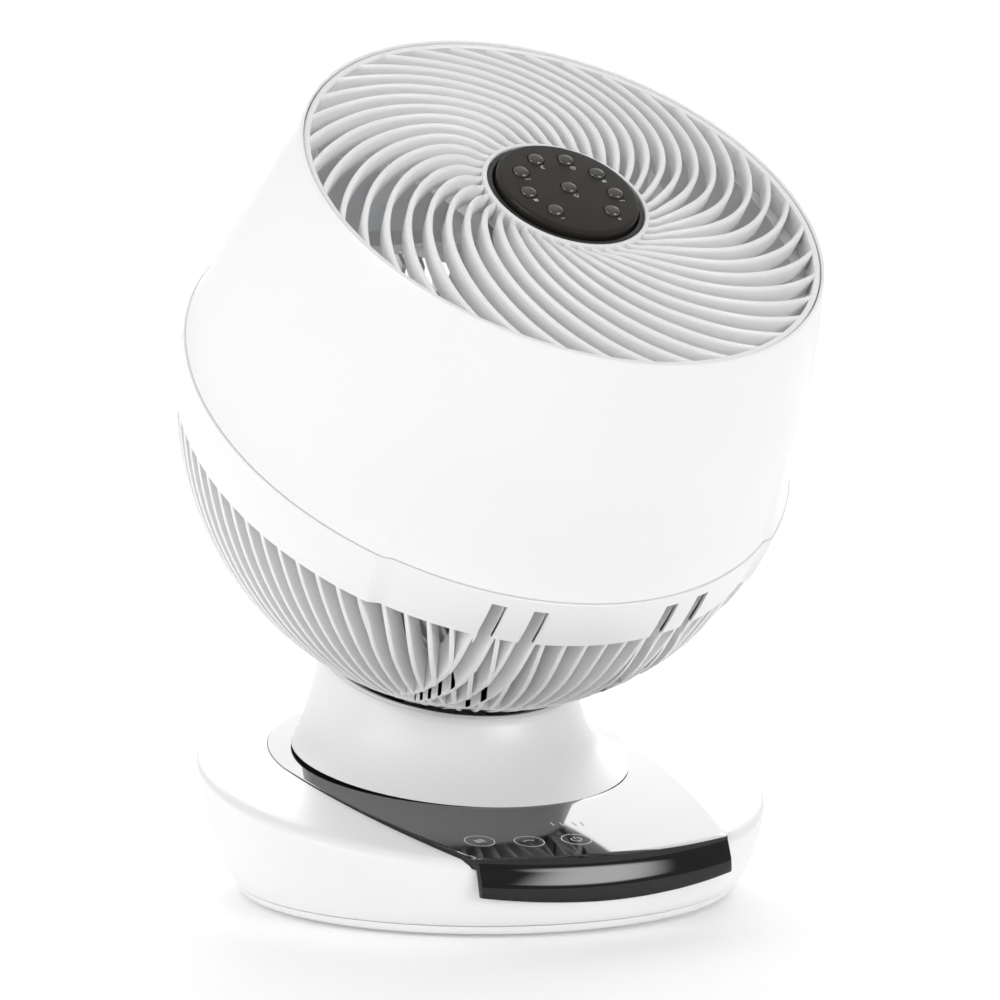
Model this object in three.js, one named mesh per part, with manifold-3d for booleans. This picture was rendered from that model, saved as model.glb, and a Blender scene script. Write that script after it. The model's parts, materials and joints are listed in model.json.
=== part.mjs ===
// A table-top air circulator fan: a ball head that nods on a yoke, a neck that turns on
// a sloping round base, and a small round remote control docked in the front grille.
// Millimetres, +Z up, the front towards -Y, the origin on the floor under the base's centre.
import * as THREE from 'three';
import { mergeVertices } from 'three/addons/utils/BufferGeometryUtils.js';
import Module from 'manifold-3d';

const wasm = await Module();
wasm.setup();
const rad = THREE.MathUtils.degToRad;

// ---- driving dimensions ------------------------------------------------------------
const GAP = 0.3;                 // clearance between pieces that touch

const BALL_R = 145;              // outside of the ball head
const BALL_CLEAR = 28.5;         // lowest point of the ball above the deck plane
const BALL_UP = BALL_R + BALL_CLEAR;     // tilt axis above the deck plane, along the pan axis
const HEAD_TILT = 52.3;          // degrees above level in the rest pose
const DECK_TILT = 10.5;          // degrees that the deck slopes down to the front
const DECK_Y = 26.7;             // where the pan axis meets the deck plane
const DECK_Z = 57.56;

const SEAM_R = 116.2;            // base housing at its lower seam
const SEAM_Z = 5.9;
const FLOOR_R = 114.5;           // base plate at its lower edge
const PLATE_Z = 1.5;             // underside of the base plate
const SHOULDER_R = 132.6;        // top edge of the base, a circle in the deck plane
const SHOULDER_FWD = 22.5;       // its centre, forward of the pan axis
const SHOULDER_ROUND = 5;        // band that rounds the top edge
const BASE_BULGE = 4.2;          // how far the front wall swells
const WALL = 2.4;                // moulded walls of the base and neck
const DECK_WALL = 5.2;           // deck, thick enough for the panel's recess
const FRONT_WALL = 5.6;          // base wall behind the panel's lip
const FACETS = 48;

const PANEL_T = 2.5;
const PANEL_PROUD = 0.25;
const PANEL_RING_R = 91;         // ring of the panel around the neck
const PANEL_FRONT = 148.8;       // front edge, forward of the pan axis
const PANEL_FRONT_SWEEP = 432;   // the front edge is a parabola, x * x / this
const PANEL_HALF = 62.4;         // half the width at the front corners
const PANEL_TAPER = 0.065;       // sides: half width lost per mm forward
const PANEL_CURVE = 0.00095;     // and per mm squared
const PANEL_RISE = 0.0112;       // slope of the panel over the deck plane
const LIP_Y = -123;              // lower edge of the lip at its centre
const LIP_Z = 16;
const LIP_BACK = 8.2;            // how far the lip's ends lie behind its centre
const LIP_LIFT = 4.8;            // and above it

const NECK_FLARE_R = 80;         // neck at its foot
const NECK_FLARE_UP = 3.0;       // underside of the flare above the deck plane
const NECK_R = 60.5;             // neck at NECK_UP
const NECK_UP = 41;
const NECK_BACK = 21;            // centre of the neck behind the pan axis at NECK_UP
const NECK_LEAN = 0.15;          // how far it leans back per mm
const NECK_TAPER = 0.25;         // radius lost per mm
const NECK_FLARE_POWER = 5;      // how late the flare opens
const NECK_FACETS = 40;
const BALL_GAP = 3;              // neck's rim to the ball

const BEARING_R = 66;
const BEARING_BORE = 55.5;
const TURRET_R = 72;
const TURRET_UP = 2.3;
const TURRET_T = 2.6;
const TURRET_BORE = 22;
const GEAR_MODULE = 1.5;
const PAN_TEETH = 80;
const PINION_TEETH = 12;
const PAN_GEAR_TOP = -8.5;
const PAN_GEAR_T = 8;
const PAN_TOOTHED = 100;         // degrees of the turret's rim that carry teeth
const TILT_TEETH = 48;
const SECTOR_X = 20;             // sector gear's mid plane
const SECTOR_T = 6;
const SECTOR_FROM = -24;         // toothed arc, degrees from the rear pole
const SECTOR_TO = 84;

const CHEEK_T = 4;
const CHEEK_X = [32.5, 50.5];    // mid planes of the yoke's cheeks, each side
const CHEEK_END_R = 9;
const CHEEK_MID_HALF = 13;
const CHEEK_FOOT_HALF = 16;
const CHEEK_MID = [41, 16];      // height and set-back of the cheek where it leaves the neck
const CHEEK_FOOT_BACK = 19;
const LUG_X = [37.5, 45.5];
const LUG_R = 11;
const PIN_R = 4;
const BUSH_R = 6.2;
const SLOT_HALF = 3.5;           // half width of a yoke slot
const SLOT_TOP = -3;             // where the slots begin, along the head axis
const SLOT_PAST = 18.7;          // degrees that they run past the rear pole
const FIN_T = 1.6;

const SHELL_T = 2.2;
const SHELL_SEAM = 3;            // front shell meets the rear shell here
const BAND_END = -23.5;          // rear band ends and the ribs begin
const RELIEF_HALF = 42.5;        // degrees either side of the bottom that are sunk
const RELIEF_EDGE = 0.7;
const RELIEF_START = 62;
const RELIEF_END = -20;
const RELIEF_DEPTH = 2.8;
const SEAM_STEP = 0.8;           // front shell inside the ball's surface at the seam
const RIM_S = 116.2;             // front rim along the head axis
const RIM_WALL = 1.2;            // front shell's wall at the rim
const RIM_THIN_S = 100;          // where the wall starts to thin towards the rim
const DUCT_R = 112;              // outside of the air duct
const DUCT_T = 2;
const DUCT_FLANGE = 5;           // duct's front flange beyond its wall
const DUCT_CLEAR = 1.6;          // flange to the inside of the rim
const RIM_INNER_R = DUCT_R + DUCT_FLANGE + DUCT_CLEAR;
const RIM_R = RIM_INNER_R + RIM_WALL;
const FRONT_SHAPE = [            // along the axis, share of the way in from the ball to the rim
  [SHELL_SEAM, 0], [10, 0.1107], [20, 0.1844], [40, 0.3033], [RELIEF_START, 0.4385],
  [85, 0.668], [RIM_THIN_S, 0.8074], [RIM_S, 1],
];

const REAR_RIBS = 28;
const REAR_RIB_SHIFT = 7.17;     // degrees from the lowest meridian to a rib
const REAR_RIB_T = 3.2;
const REAR_RIB_DEEP = 10;
const REAR_RIB_INSET = 0.5;      // rib edges under the ball's surface
const REAR_POLE = 28;            // ribs meet this many degrees below the rear pole
const REAR_RING_R = 60;          // ring where every second rib ends
const REAR_RING_T = 2.4;
const REAR_HUB_R = 26;
const REAR_HUB_T = 4;

const GRILLE_RIBS = 38;
const GRILLE_SWIRL = 0.85;       // degrees of swirl per mm of radius
const GRILLE_TURN = -1.95;
const GRILLE_OUT = 114;
const GRILLE_RIB_T = 2.2;
const GRILLE_RIB_DEEP = 9;
const GRILLE_CLEAR = 0.4;        // grille's ring to the inside of the rim
const GRILLE_RING_R = RIM_INNER_R - GRILLE_CLEAR;
const GRILLE_RING_T = 2.8;
const GRILLE_HUB_R = 38.4;
const GRILLE_HUB_T = 2.2;
const GRILLE_FROM = GRILLE_HUB_R - 1;              // ribs run from inside the hub's wall
const GRILLE_TO = GRILLE_RING_R - 1.8;             // to inside the ring's
const GRILLE_RISE = [            // radius, height of the ribs over the rim plane
  [GRILLE_FROM, -1], [42, -0.3], [46, 1.5], [55, 3.5], [65, 4], [80, 3], [95, 1.5], [105, 0],
  [GRILLE_TO, -1.3],
];

const DOCK_WALL = 2.4;
const REMOTE_R = 32.8;
const REMOTE_T = 10;
const REMOTE_TOP = 119.1;
const REMOTE_WALL = 1.6;
const KEY_R = 3.75;
const KEY_RING = 22;
const KEY_ANGLES = [-50, -10, 30, 70, 110, 150, 190, 230];
const KEY_TRAVEL = 0.5;

const DUCT_FROM = 30;
const DUCT_TO = 104;
const MOUNT_S = 12;
const MOUNT_T = 5;
const MOUNT_R = 48;
const MOUNT_ARMS = 6;
const MOUNT_ARM_T = 3;
const MOUNT_REACH = BALL_R - 10.8;
const FAN_MOTOR_R = 34;
const FAN_MOTOR_L = 34;
const SHAFT_R = 4;
const SHAFT_END = 92;
const HUB_R = 37;
const HUB_FROM = 55;
const HUB_TO = 90;
const BLADES = 7;
const BLADE_TIP_R = 104.5;
const BLADE_T = 2.4;
const BLADE_MID = 72;

const FOOT_R = 9;
const FOOT_T = 2.4;
const FEET = 5;
const FOOT_RING = 97;
const SCREW_RING = 97;
const SCREW_R = 1.5;
const SCREW_HEAD_R = 3.2;
const SCREW_L = 16;
const BOSS_R = 4.5;
const GEARMOTOR_R = 17.5;
const GEARMOTOR_L = 22;
const SOCKET_HALF = [11, 5.5];    // power inlet: half width, half height
const SOCKET_L = 23;
const SOCKET_Z = 20;
const SOCKET_FACE_Y = 126;
const INLET_HALF = [7, 3.6];
const INLET_DEEP = 14;
const BOARD_UP = SEAM_Z + 4;
const BOARD_T = 1.6;
const BOARD_HALF = 46;           // main board: half width, front and back edges
const BOARD_FRONT = 24;
const BOARD_BACK = 84;
const BOARD_LEG_IN = 6;
const BOARD_LEG_R = 3;
const BUZZER_R = 6;
const BUZZER_T = 7;
const BALLAST_R = 48;
const BALLAST_T = 6;
const BALLAST_Y = -34;
const BRACKET_HALF = 30;         // pan motor's bracket: half width, reach to front and back
const BRACKET_FRONT = 19;
const BRACKET_BACK = 21;
const BRACKET_T = 2.2;
const POST_T = 8;
const TOUCH_HALF = 48;           // touch board under the panel: half width, length
const TOUCH_L = 36;
const TOUCH_BACK = 20.8;         // its front edge behind the panel's
const IR_HALF = 5;
const IR_T = 6;

// ---- materials ---------------------------------------------------------------------
const paint = (color, roughness, metalness = 0) =>
  new THREE.MeshStandardMaterial({ color, roughness, metalness });
const WHITE = paint(0xf4f4f2, 0.35);
const PALE = paint(0xe6e7e8, 0.45);
const GLOSS_BLACK = paint(0x0b0b0c, 0.08);
const REMOTE_BLACK = paint(0x1c1815, 0.3);
const KEY_BLACK = paint(0x26211d, 0.35);
const RUBBER = paint(0x55575a, 0.8);
const STEEL = paint(0x9da2a6, 0.35, 0.9);
const MOTOR_GREY = paint(0x6d7175, 0.45, 0.6);
const GEAR_WHITE = paint(0xe9e4d4, 0.5);
const BOARD_GREEN = paint(0x1e5a3a, 0.6);
const DARK = paint(0x2b2d30, 0.6);

// ---- solids ------------------------------------------------------------------------
function signedVolume(pos, tri) {
  const [a, b, c] = [new THREE.Vector3(), new THREE.Vector3(), new THREE.Vector3()];
  let sum = 0;
  for (let i = 0; i < tri.length; i += 3) {
    a.fromArray(pos, tri[i] * 3);
    b.fromArray(pos, tri[i + 1] * 3);
    c.fromArray(pos, tri[i + 2] * 3);
    sum += a.dot(b.cross(c));
  }
  return sum;
}

// A closed solid from any three.js geometry, its faces turned outwards.
function solid(geometry) {
  const source = geometry.clone();
  source.deleteAttribute('normal');
  source.deleteAttribute('uv');
  const merged = mergeVertices(source, 1e-4);
  const pos = merged.attributes.position.array;
  const tri = [];
  for (let i = 0; i < merged.index.count; i += 3) {
    const [a, b, c] = [0, 1, 2].map((k) => merged.index.getX(i + k));
    if (a !== b && b !== c && c !== a) tri.push(a, b, c);
  }
  if (signedVolume(pos, tri) < 0) tri.reverse();
  return new wasm.Manifold(new wasm.Mesh({
    numProp: 3, vertProperties: Float32Array.from(pos), triVerts: Uint32Array.from(tri),
  }));
}

const join = (...parts) => parts.flat().reduce((sum, part) => sum.add(part));
const cut = (body, ...tools) => body.subtract(join(...tools));

function geometryOf(body) {
  const mesh = body.getMesh();
  const geometry = new THREE.BufferGeometry();
  const points = [];
  for (let i = 0; i < mesh.vertProperties.length; i += mesh.numProp) {
    points.push(...mesh.vertProperties.slice(i, i + 3));
  }
  geometry.setAttribute('position', new THREE.Float32BufferAttribute(points, 3));
  geometry.setIndex([...mesh.triVerts]);
  const flat = geometry.toNonIndexed();
  flat.computeVertexNormals();
  return flat;
}

function drum(r, z0, z1, segments = 32, x = 0, y = 0) {
  const g = new THREE.CylinderGeometry(r, r, z1 - z0, segments);
  return solid(g.rotateX(Math.PI / 2).translate(x, y, (z0 + z1) / 2));
}

// A drum along X.
function rod(r, x0, x1, segments = 16, y = 0, z = 0) {
  const g = new THREE.CylinderGeometry(r, r, x1 - x0, segments);
  return solid(g.rotateZ(Math.PI / 2).translate((x0 + x1) / 2, y, z));
}

function block(x0, x1, y0, y1, z0, z1) {
  const g = new THREE.BoxGeometry(x1 - x0, y1 - y0, z1 - z0);
  return solid(g.translate((x0 + x1) / 2, (y0 + y1) / 2, (z0 + z1) / 2));
}

// A turned piece from its [radius, height] outline, which closes on itself or on the axis.
function turned(outline, segments = 48) {
  const points = outline.map(([r, z]) => new THREE.Vector2(r, z));
  const onAxis = outline[0][0] === 0 && outline.at(-1)[0] === 0;
  if (!onAxis) points.push(points[0].clone());
  return solid(new THREE.LatheGeometry(points, segments).rotateX(Math.PI / 2));
}

function prism(points, depth) {
  const shape = new THREE.Shape(points.map(([u, v]) => new THREE.Vector2(u, v)));
  return new THREE.ExtrudeGeometry(shape, { depth, bevelEnabled: false, steps: 1 });
}

// A prism whose outline lies in the XY plane, between two heights.
const plate = (points, z0, z1) => solid(prism(points, z1 - z0).translate(0, 0, z0));

// A prism whose outline is given as [z, y], between two planes of constant x.
function slab(points, x0, x1) {
  const turn = new THREE.Matrix4().makeBasis(
    new THREE.Vector3(0, 0, 1), new THREE.Vector3(0, 1, 0), new THREE.Vector3(1, 0, 0));
  return solid(prism(points, x1 - x0).applyMatrix4(turn).translate(x0, 0, 0));
}

// A skin over rings of equally many points: its ends are capped, or meet as in a torus.
// Twisted skins are split along the shorter diagonals, so that thin walls don't cross.
function loft(rings, torus = false, twisted = false) {
  const n = rings[0].length;
  const pos = rings.flat(2);
  const tri = [];
  const apart = (a, b) => Math.hypot(...[0, 1, 2].map((c) => pos[a * 3 + c] - pos[b * 3 + c]));
  const spans = torus ? rings.length : rings.length - 1;
  for (let i = 0; i < spans; i += 1) {
    const [lo, hi] = [i * n, ((i + 1) % rings.length) * n];
    for (let j = 0; j < n; j += 1) {
      const k = (j + 1) % n;
      if (twisted && apart(lo + k, hi + j) < apart(lo + j, hi + k)) {
        tri.push(lo + j, lo + k, hi + j, lo + k, hi + k, hi + j);
      } else {
        tri.push(lo + j, lo + k, hi + k, lo + j, hi + k, hi + j);
      }
    }
  }
  if (!torus) {
    for (const [ring, start] of [[rings[0], 0], [rings.at(-1), (rings.length - 1) * n]]) {
      const centre = pos.length / 3;
      pos.push(...[0, 1, 2].map((c) => ring.reduce((sum, p) => sum + p[c], 0) / n));
      for (let j = 0; j < n; j += 1) {
        const pair = [start + j, start + ((j + 1) % n)];
        if (start === 0) pair.reverse();
        tri.push(centre, ...pair);
      }
    }
  }
  const g = new THREE.BufferGeometry();
  g.setAttribute('position', new THREE.Float32BufferAttribute(pos, 3));
  g.setIndex(tri);
  return solid(g);
}

const circle = (r, z, n, y = 0) => Array.from({ length: n }, (_, i) => {
  const a = (i / n) * 2 * Math.PI;
  return [r * Math.sin(a), y - r * Math.cos(a), z];
});
const mix = (a, b, t) => a + (b - a) * t;
const clamp01 = (t) => Math.min(1, Math.max(0, t));

function interpolate(table, x) {
  const last = table.length - 1;
  if (x <= table[0][0]) return table[0][1];
  if (x >= table[last][0]) return table[last][1];
  const i = table.findIndex(([at]) => at > x);
  const [[x0, y0], [x1, y1]] = [table[i - 1], table[i]];
  return mix(y0, y1, (x - x0) / (x1 - x0));
}

// ---- the scene graph ---------------------------------------------------------------
const fan = new THREE.Group();
const base = new THREE.Group();
const deck = new THREE.Group();          // its Z is the pan axis, its origin in the deck plane
deck.position.set(0, DECK_Y, DECK_Z);
deck.rotation.x = rad(DECK_TILT);
const tiltCentre = new THREE.Vector3(0, 0, BALL_UP)
  .applyAxisAngle(new THREE.Vector3(1, 0, 0), rad(DECK_TILT)).add(deck.position);
const head = new THREE.Group();          // its Z is the head axis, its origin the tilt centre
head.position.copy(tiltCentre);
head.rotation.x = rad(90 - HEAD_TILT);
const rearPole = new THREE.Group();      // its Z points where the rear ribs meet
rearPole.rotation.x = rad(180 - REAR_POLE);
head.add(rearPole);
fan.add(base, deck, head);

function add(parent, name, body, material) {
  const mesh = new THREE.Mesh(geometryOf(body), material);
  mesh.name = name;
  parent.add(mesh);
  return mesh;
}

// ---- base --------------------------------------------------------------------------
const tilted = { sin: Math.sin(rad(DECK_TILT)), cos: Math.cos(rad(DECK_TILT)) };
const deckPoint = (x, forward, up) => [
  x,
  DECK_Y - forward * tilted.cos - up * tilted.sin,
  DECK_Z - forward * tilted.sin + up * tilted.cos,
];
const panelRise = (forward) => Math.max(0, (forward + PANEL_RING_R) * PANEL_RISE);
const panelFront = (x) => PANEL_FRONT - (x * x) / PANEL_FRONT_SWEEP;

// Top edge of the base in the deck plane: a circle whose front follows the panel's lip.
function shoulder(a, inset) {
  const x = (SHOULDER_R - inset) * Math.sin(a);
  const round = SHOULDER_FWD + (SHOULDER_R - inset) * Math.cos(a);
  const flat = panelFront(x) - inset + PANEL_PROUD;
  const soft = 4;
  const low = Math.min(round, flat) - Math.max(0, soft - Math.abs(round - flat)) ** 2 / (4 * soft);
  return [x, low];
}

// One ring of the base wall: u runs from 0 at the seam to 1 at the shoulder.
function wallRing(u, thick) {
  return Array.from({ length: FACETS }, (_, j) => {
    const a = (j / FACETS) * 2 * Math.PI;
    const front = Math.max(0, Math.cos(a));
    const inward = thick ? mix(WALL, FRONT_WALL, clamp01((front - 0.6) / 0.25)) : 0;
    const [sx, sf] = shoulder(a, 0);
    const top = deckPoint(sx, sf, -SHOULDER_ROUND / 3);
    const spread = Math.sin((Math.PI / 2) * u ** 0.7);
    const bulge = BASE_BULGE * front * front * Math.sin(Math.PI * u ** 0.6);
    const x = mix(SEAM_R * Math.sin(a), top[0], spread);
    const y = mix(-SEAM_R * Math.cos(a), top[1], spread) - bulge;
    const shrink = 1 - inward / Math.hypot(x, y);
    return [x * shrink, y * shrink, mix(SEAM_Z, top[2], u)];
  });
}

function deckRing(inset, drop) {
  return Array.from({ length: FACETS }, (_, j) => {
    const [x, forward] = shoulder((j / FACETS) * 2 * Math.PI, inset);
    const settle = clamp01(inset / SHOULDER_ROUND);
    return deckPoint(x, forward, panelRise(forward) * settle - drop);
  });
}

function housingSolid() {
  const steps = [0, 0.12, 0.35, 0.65, 1];
  const rings = steps.map((u) => wallRing(u, false));
  rings.push(deckRing(SHOULDER_ROUND / 4, SHOULDER_ROUND / 16), deckRing(SHOULDER_ROUND, 0));
  return loft(rings);
}

function housingCavity() {
  const rings = [0, 0.3, 0.75].map((u) => wallRing(u, true));
  rings[0] = rings[0].map(([x, y]) => [x, y, SEAM_Z - 1]);
  rings.push(deckRing(FRONT_WALL + SHOULDER_ROUND, DECK_WALL));
  return loft(rings);
}

// Outline of the control panel as [x, forward], grown all round by a clearance.
function panelOutline(grow) {
  const points = [];
  const half = PANEL_HALF + grow;
  const side = (forward) => PANEL_RING_R + grow - PANEL_TAPER * forward - PANEL_CURVE * forward ** 2;
  for (let i = -4; i <= 4; i += 1) points.push([(half * i) / 4, panelFront((half * i) / 4) + grow]);
  const corner = panelFront(half);
  for (let i = 1; i <= 6; i += 1) {
    const forward = corner * (1 - i / 6);
    points.push([side(forward), forward]);
  }
  for (let i = 1; i < 16; i += 1) {
    const a = Math.PI / 2 + (i / 16) * Math.PI;
    points.push([(PANEL_RING_R + grow) * Math.sin(a), (PANEL_RING_R + grow) * Math.cos(a)]);
  }
  for (let i = 6; i >= 1; i -= 1) {
    const forward = corner * (1 - i / 6);
    points.push([-side(forward), forward]);
  }
  return points;
}

function panelPlate(grow, top, bottom) {
  const outline = panelOutline(grow);
  const hole = NECK_FLARE_R - 4 - grow;
  const inner = outline.map(([x, f]) => [x, f].map((c) => (c * hole) / Math.hypot(x, f)));
  const raise = (ring, up) => ring.map(([x, f]) => deckPoint(x, f, panelRise(f) + up));
  return loft([raise(outline, top), raise(inner, top), raise(inner, bottom), raise(outline, bottom)], true);
}

// The panel's lip, which drops over the front of the base.
function panelLip(grow, reach) {
  const stations = Array.from({ length: 9 }, (_, i) => (i / 4 - 1) * (PANEL_HALF + grow));
  return loft(stations.map((x) => {
    const share = (x / PANEL_HALF) ** 2;
    const [, topY, topZ] = deckPoint(x, panelFront(x) + grow, panelRise(PANEL_FRONT) + PANEL_PROUD);
    const [lowY, lowZ] = [LIP_Y + LIP_BACK * share, LIP_Z + LIP_LIFT * share - grow];
    const back = PANEL_T + grow * 2;
    return [
      [x, topY - reach, topZ + reach], [x, lowY - reach, lowZ],
      [x, lowY + back, lowZ], [x, topY + back + grow, topZ - PANEL_T],
    ];
  }));
}

const panelBody = () => join(panelPlate(0, PANEL_PROUD, -PANEL_T), panelLip(0, 0));
const panelRecess = () => join(panelPlate(GAP, SHOULDER_ROUND * 2, -PANEL_T - GAP), panelLip(GAP, 12));

const onRing = (count, r, turn) => Array.from({ length: count }, (_, i) => {
  const a = rad(turn + (i / count) * 360);
  return [r * Math.sin(a), -r * Math.cos(a)];
});
const footPlaces = onRing(FEET, FOOT_RING, 0);
const screwPlaces = onRing(4, SCREW_RING, 45);

function tiltToDeck(body) {
  const m = new THREE.Matrix4().compose(
    deck.position, new THREE.Quaternion().setFromEuler(new THREE.Euler(rad(DECK_TILT), 0, 0)),
    new THREE.Vector3(1, 1, 1));
  return solid(geometryOf(body).applyMatrix4(m));
}

function baseHousing() {
  const outer = housingSolid();
  const bossTop = DECK_Z + SHOULDER_R;
  const bosses = join(screwPlaces.map(([x, y]) => drum(BOSS_R, SEAM_Z + GAP, bossTop, 10, x, y)));
  const bores = join(screwPlaces.map(([x, y]) =>
    drum(SCREW_R + GAP, PLATE_Z, PLATE_Z + SCREW_L + GAP * 2, 8, x, y)));
  const hole = tiltToDeck(drum(BEARING_R + GAP, -DECK_WALL * 2, DECK_WALL * 2, 40));
  const socketHole = block(-SOCKET_HALF[0] - GAP, SOCKET_HALF[0] + GAP, SOCKET_FACE_Y - SOCKET_L,
    SOCKET_FACE_Y + 5, SOCKET_Z - SOCKET_HALF[1] - GAP, SOCKET_Z + SOCKET_HALF[1] + GAP);
  const shell = join(cut(outer, housingCavity()), bosses.intersect(outer));
  return cut(shell, bores, hole, socketHole, panelRecess());
}

function basePlate() {
  const top = SEAM_Z - GAP;
  const edge = PLATE_Z + 1.2;
  const disc = turned([
    [0, PLATE_Z], [FLOOR_R - 1.5, PLATE_Z], [FLOOR_R, edge], [SEAM_R - 0.2, top], [0, top],
  ], FACETS);
  const pockets = footPlaces.map(([x, y]) => drum(FOOT_R + GAP, 0, FOOT_T + GAP, 16, x, y));
  const bores = screwPlaces.map(([x, y]) => join(
    drum(SCREW_R + GAP, 0, SEAM_Z, 8, x, y),
    drum(SCREW_HEAD_R + GAP, 0, PLATE_Z + 2.5, 12, x, y)));
  return cut(disc, pockets, bores);
}

add(base, 'base_housing', baseHousing(), WHITE);
add(base, 'base_plate', basePlate(), WHITE);
add(base, 'control_panel', panelBody(), GLOSS_BLACK);
footPlaces.forEach(([x, y], i) => add(base, `foot_${i + 1}`, drum(FOOT_R, 0, FOOT_T, 16, x, y), RUBBER));
screwPlaces.forEach(([x, y], i) => add(base, `base_screw_${i + 1}`, join(
  drum(SCREW_HEAD_R, PLATE_Z + 0.4, PLATE_Z + 2.2, 12, x, y),
  drum(SCREW_R, PLATE_Z + 1, PLATE_Z + SCREW_L, 8, x, y)), STEEL));

function powerSocket() {
  const body = block(-SOCKET_HALF[0], SOCKET_HALF[0], SOCKET_FACE_Y - SOCKET_L, SOCKET_FACE_Y,
    SOCKET_Z - SOCKET_HALF[1], SOCKET_Z + SOCKET_HALF[1]);
  const inlet = block(-INLET_HALF[0], INLET_HALF[0], SOCKET_FACE_Y - INLET_DEEP, SOCKET_FACE_Y + 1,
    SOCKET_Z - INLET_HALF[1], SOCKET_Z + INLET_HALF[1]);
  return cut(body, inlet);
}
add(base, 'power_socket', powerSocket(), DARK);

const inside = SEAM_Z;                   // the base plate's top, with its clearance
function mainBoard() {
  const legX = BOARD_HALF - BOARD_LEG_IN;
  const legs = [BOARD_FRONT + BOARD_LEG_IN, BOARD_BACK - BOARD_LEG_IN].flatMap((y) =>
    [-legX, legX].map((x) => drum(BOARD_LEG_R, inside, BOARD_UP + 1, 12, x, y)));
  return join(block(-BOARD_HALF, BOARD_HALF, BOARD_FRONT, BOARD_BACK, BOARD_UP, BOARD_UP + BOARD_T), legs);
}
add(base, 'main_board', mainBoard(), BOARD_GREEN);
const boardTop = BOARD_UP + BOARD_T + GAP;
const [buzzerX, buzzerY] = [BOARD_HALF - BUZZER_R * 3, BOARD_FRONT + BUZZER_R * 3 - 2];
add(base, 'buzzer', drum(BUZZER_R, boardTop, boardTop + BUZZER_T, 20, buzzerX, buzzerY), DARK);
add(base, 'ballast_plate', drum(BALLAST_R, inside, inside + BALLAST_T, 28, 0, BALLAST_Y), STEEL);

// ---- pan bearing and drive ----------------------------------------------------------
const bearingLow = -DECK_WALL - GAP - 2.4;
add(deck, 'pan_bearing_ring', turned([
  [BEARING_BORE, PANEL_PROUD], [BEARING_R, PANEL_PROUD], [BEARING_R, -DECK_WALL - GAP],
  [BEARING_R + 4, -DECK_WALL - GAP], [BEARING_R + 4, bearingLow], [BEARING_BORE, bearingLow],
], 32), DARK);

// Outline of a gear's rim as [u, v]: teeth from one tooth number to another, round otherwise.
function gearRim(teeth, from, to) {
  const pitch = (2 * Math.PI) / teeth;
  const r = (GEAR_MODULE * teeth) / 2;
  const [tip, root] = [r + GEAR_MODULE * 0.85, r - GEAR_MODULE * 1.25];
  const points = [];
  for (let k = from; k <= to; k += 1) {
    const at = (radius, share) => {
      const a = (k + share) * pitch;
      points.push([radius * Math.cos(a), radius * Math.sin(a)]);
    };
    at(root, -0.3);
    at(tip, -0.12);
    at(tip, 0.12);
    at(root, 0.3);
  }
  return points;
}
const pinionOutline = gearRim(PINION_TEETH, 0, PINION_TEETH - 1);
const gearReach = (teeth) => (GEAR_MODULE * (teeth + PINION_TEETH)) / 2;

function turretBody() {
  const top = TURRET_UP + TURRET_T;
  const spool = turned([
    [TURRET_BORE, top], [TURRET_R, top], [TURRET_R, TURRET_UP], [BEARING_BORE - GAP, TURRET_UP],
    [BEARING_BORE - GAP, PAN_GEAR_TOP - PAN_GEAR_T], [TURRET_BORE, PAN_GEAR_TOP - PAN_GEAR_T],
  ], 32);
  const span = PAN_TOOTHED / (360 / PAN_TEETH) / 2;
  const pitch = (2 * Math.PI) / PAN_TEETH;
  const root = (GEAR_MODULE * PAN_TEETH) / 2 - GEAR_MODULE * 1.25;
  const rim = gearRim(PAN_TEETH, -Math.round(span), Math.round(span));
  const plain = Array.from({ length: 24 }, (_, i) => {
    const from = (Math.round(span) + 1) * pitch;
    const a = mix(from, 2 * Math.PI - from, i / 23);
    return [root * Math.cos(a), root * Math.sin(a)];
  });
  const half = pitch / 2;                // a gap between teeth faces the pinion, at the back
  const turn = ([u, v]) => {
    const a = Math.PI / 2 + half;
    return [u * Math.cos(a) - v * Math.sin(a), u * Math.sin(a) + v * Math.cos(a)];
  };
  const gear = plate([...rim, ...plain].map(turn), PAN_GEAR_TOP - PAN_GEAR_T, PAN_GEAR_TOP);
  return cut(join(spool, gear), drum(TURRET_BORE, -40, PAN_GEAR_TOP + 20, 32));
}
add(deck, 'turret', turretBody(), PALE);

const panPinionY = gearReach(PAN_TEETH);
const bracketTop = PAN_GEAR_TOP - PAN_GEAR_T - 0.7;
const facing = ([u, v]) => [v, -u + panPinionY];         // a tooth points at the pan axis
add(deck, 'pan_pinion', join(
  plate(pinionOutline.map(facing), PAN_GEAR_TOP - PAN_GEAR_T, PAN_GEAR_TOP),
  drum(3, bracketTop - BRACKET_T, PAN_GEAR_TOP - 1, 16, 0, panPinionY)), GEAR_WHITE);
function panBracket() {
  const back = panPinionY + BRACKET_BACK;
  const shelf = block(-BRACKET_HALF, BRACKET_HALF, panPinionY - BRACKET_FRONT, back,
    bracketTop - BRACKET_T, bracketTop);
  const posts = [-BRACKET_HALF, BRACKET_HALF - POST_T].map((x) => block(x, x + POST_T, back - POST_T, back,
    bracketTop - 1, -DECK_WALL - GAP * 2));
  return cut(join(shelf, posts), drum(3 + GAP, -60, 0, 16, 0, panPinionY));
}
add(deck, 'pan_bracket', panBracket(), STEEL);
const panMotorTop = bracketTop - BRACKET_T - GAP;
add(deck, 'pan_motor', drum(GEARMOTOR_R, panMotorTop - GEARMOTOR_L, panMotorTop, 20, 0, panPinionY),
  MOTOR_GREY);

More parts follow.
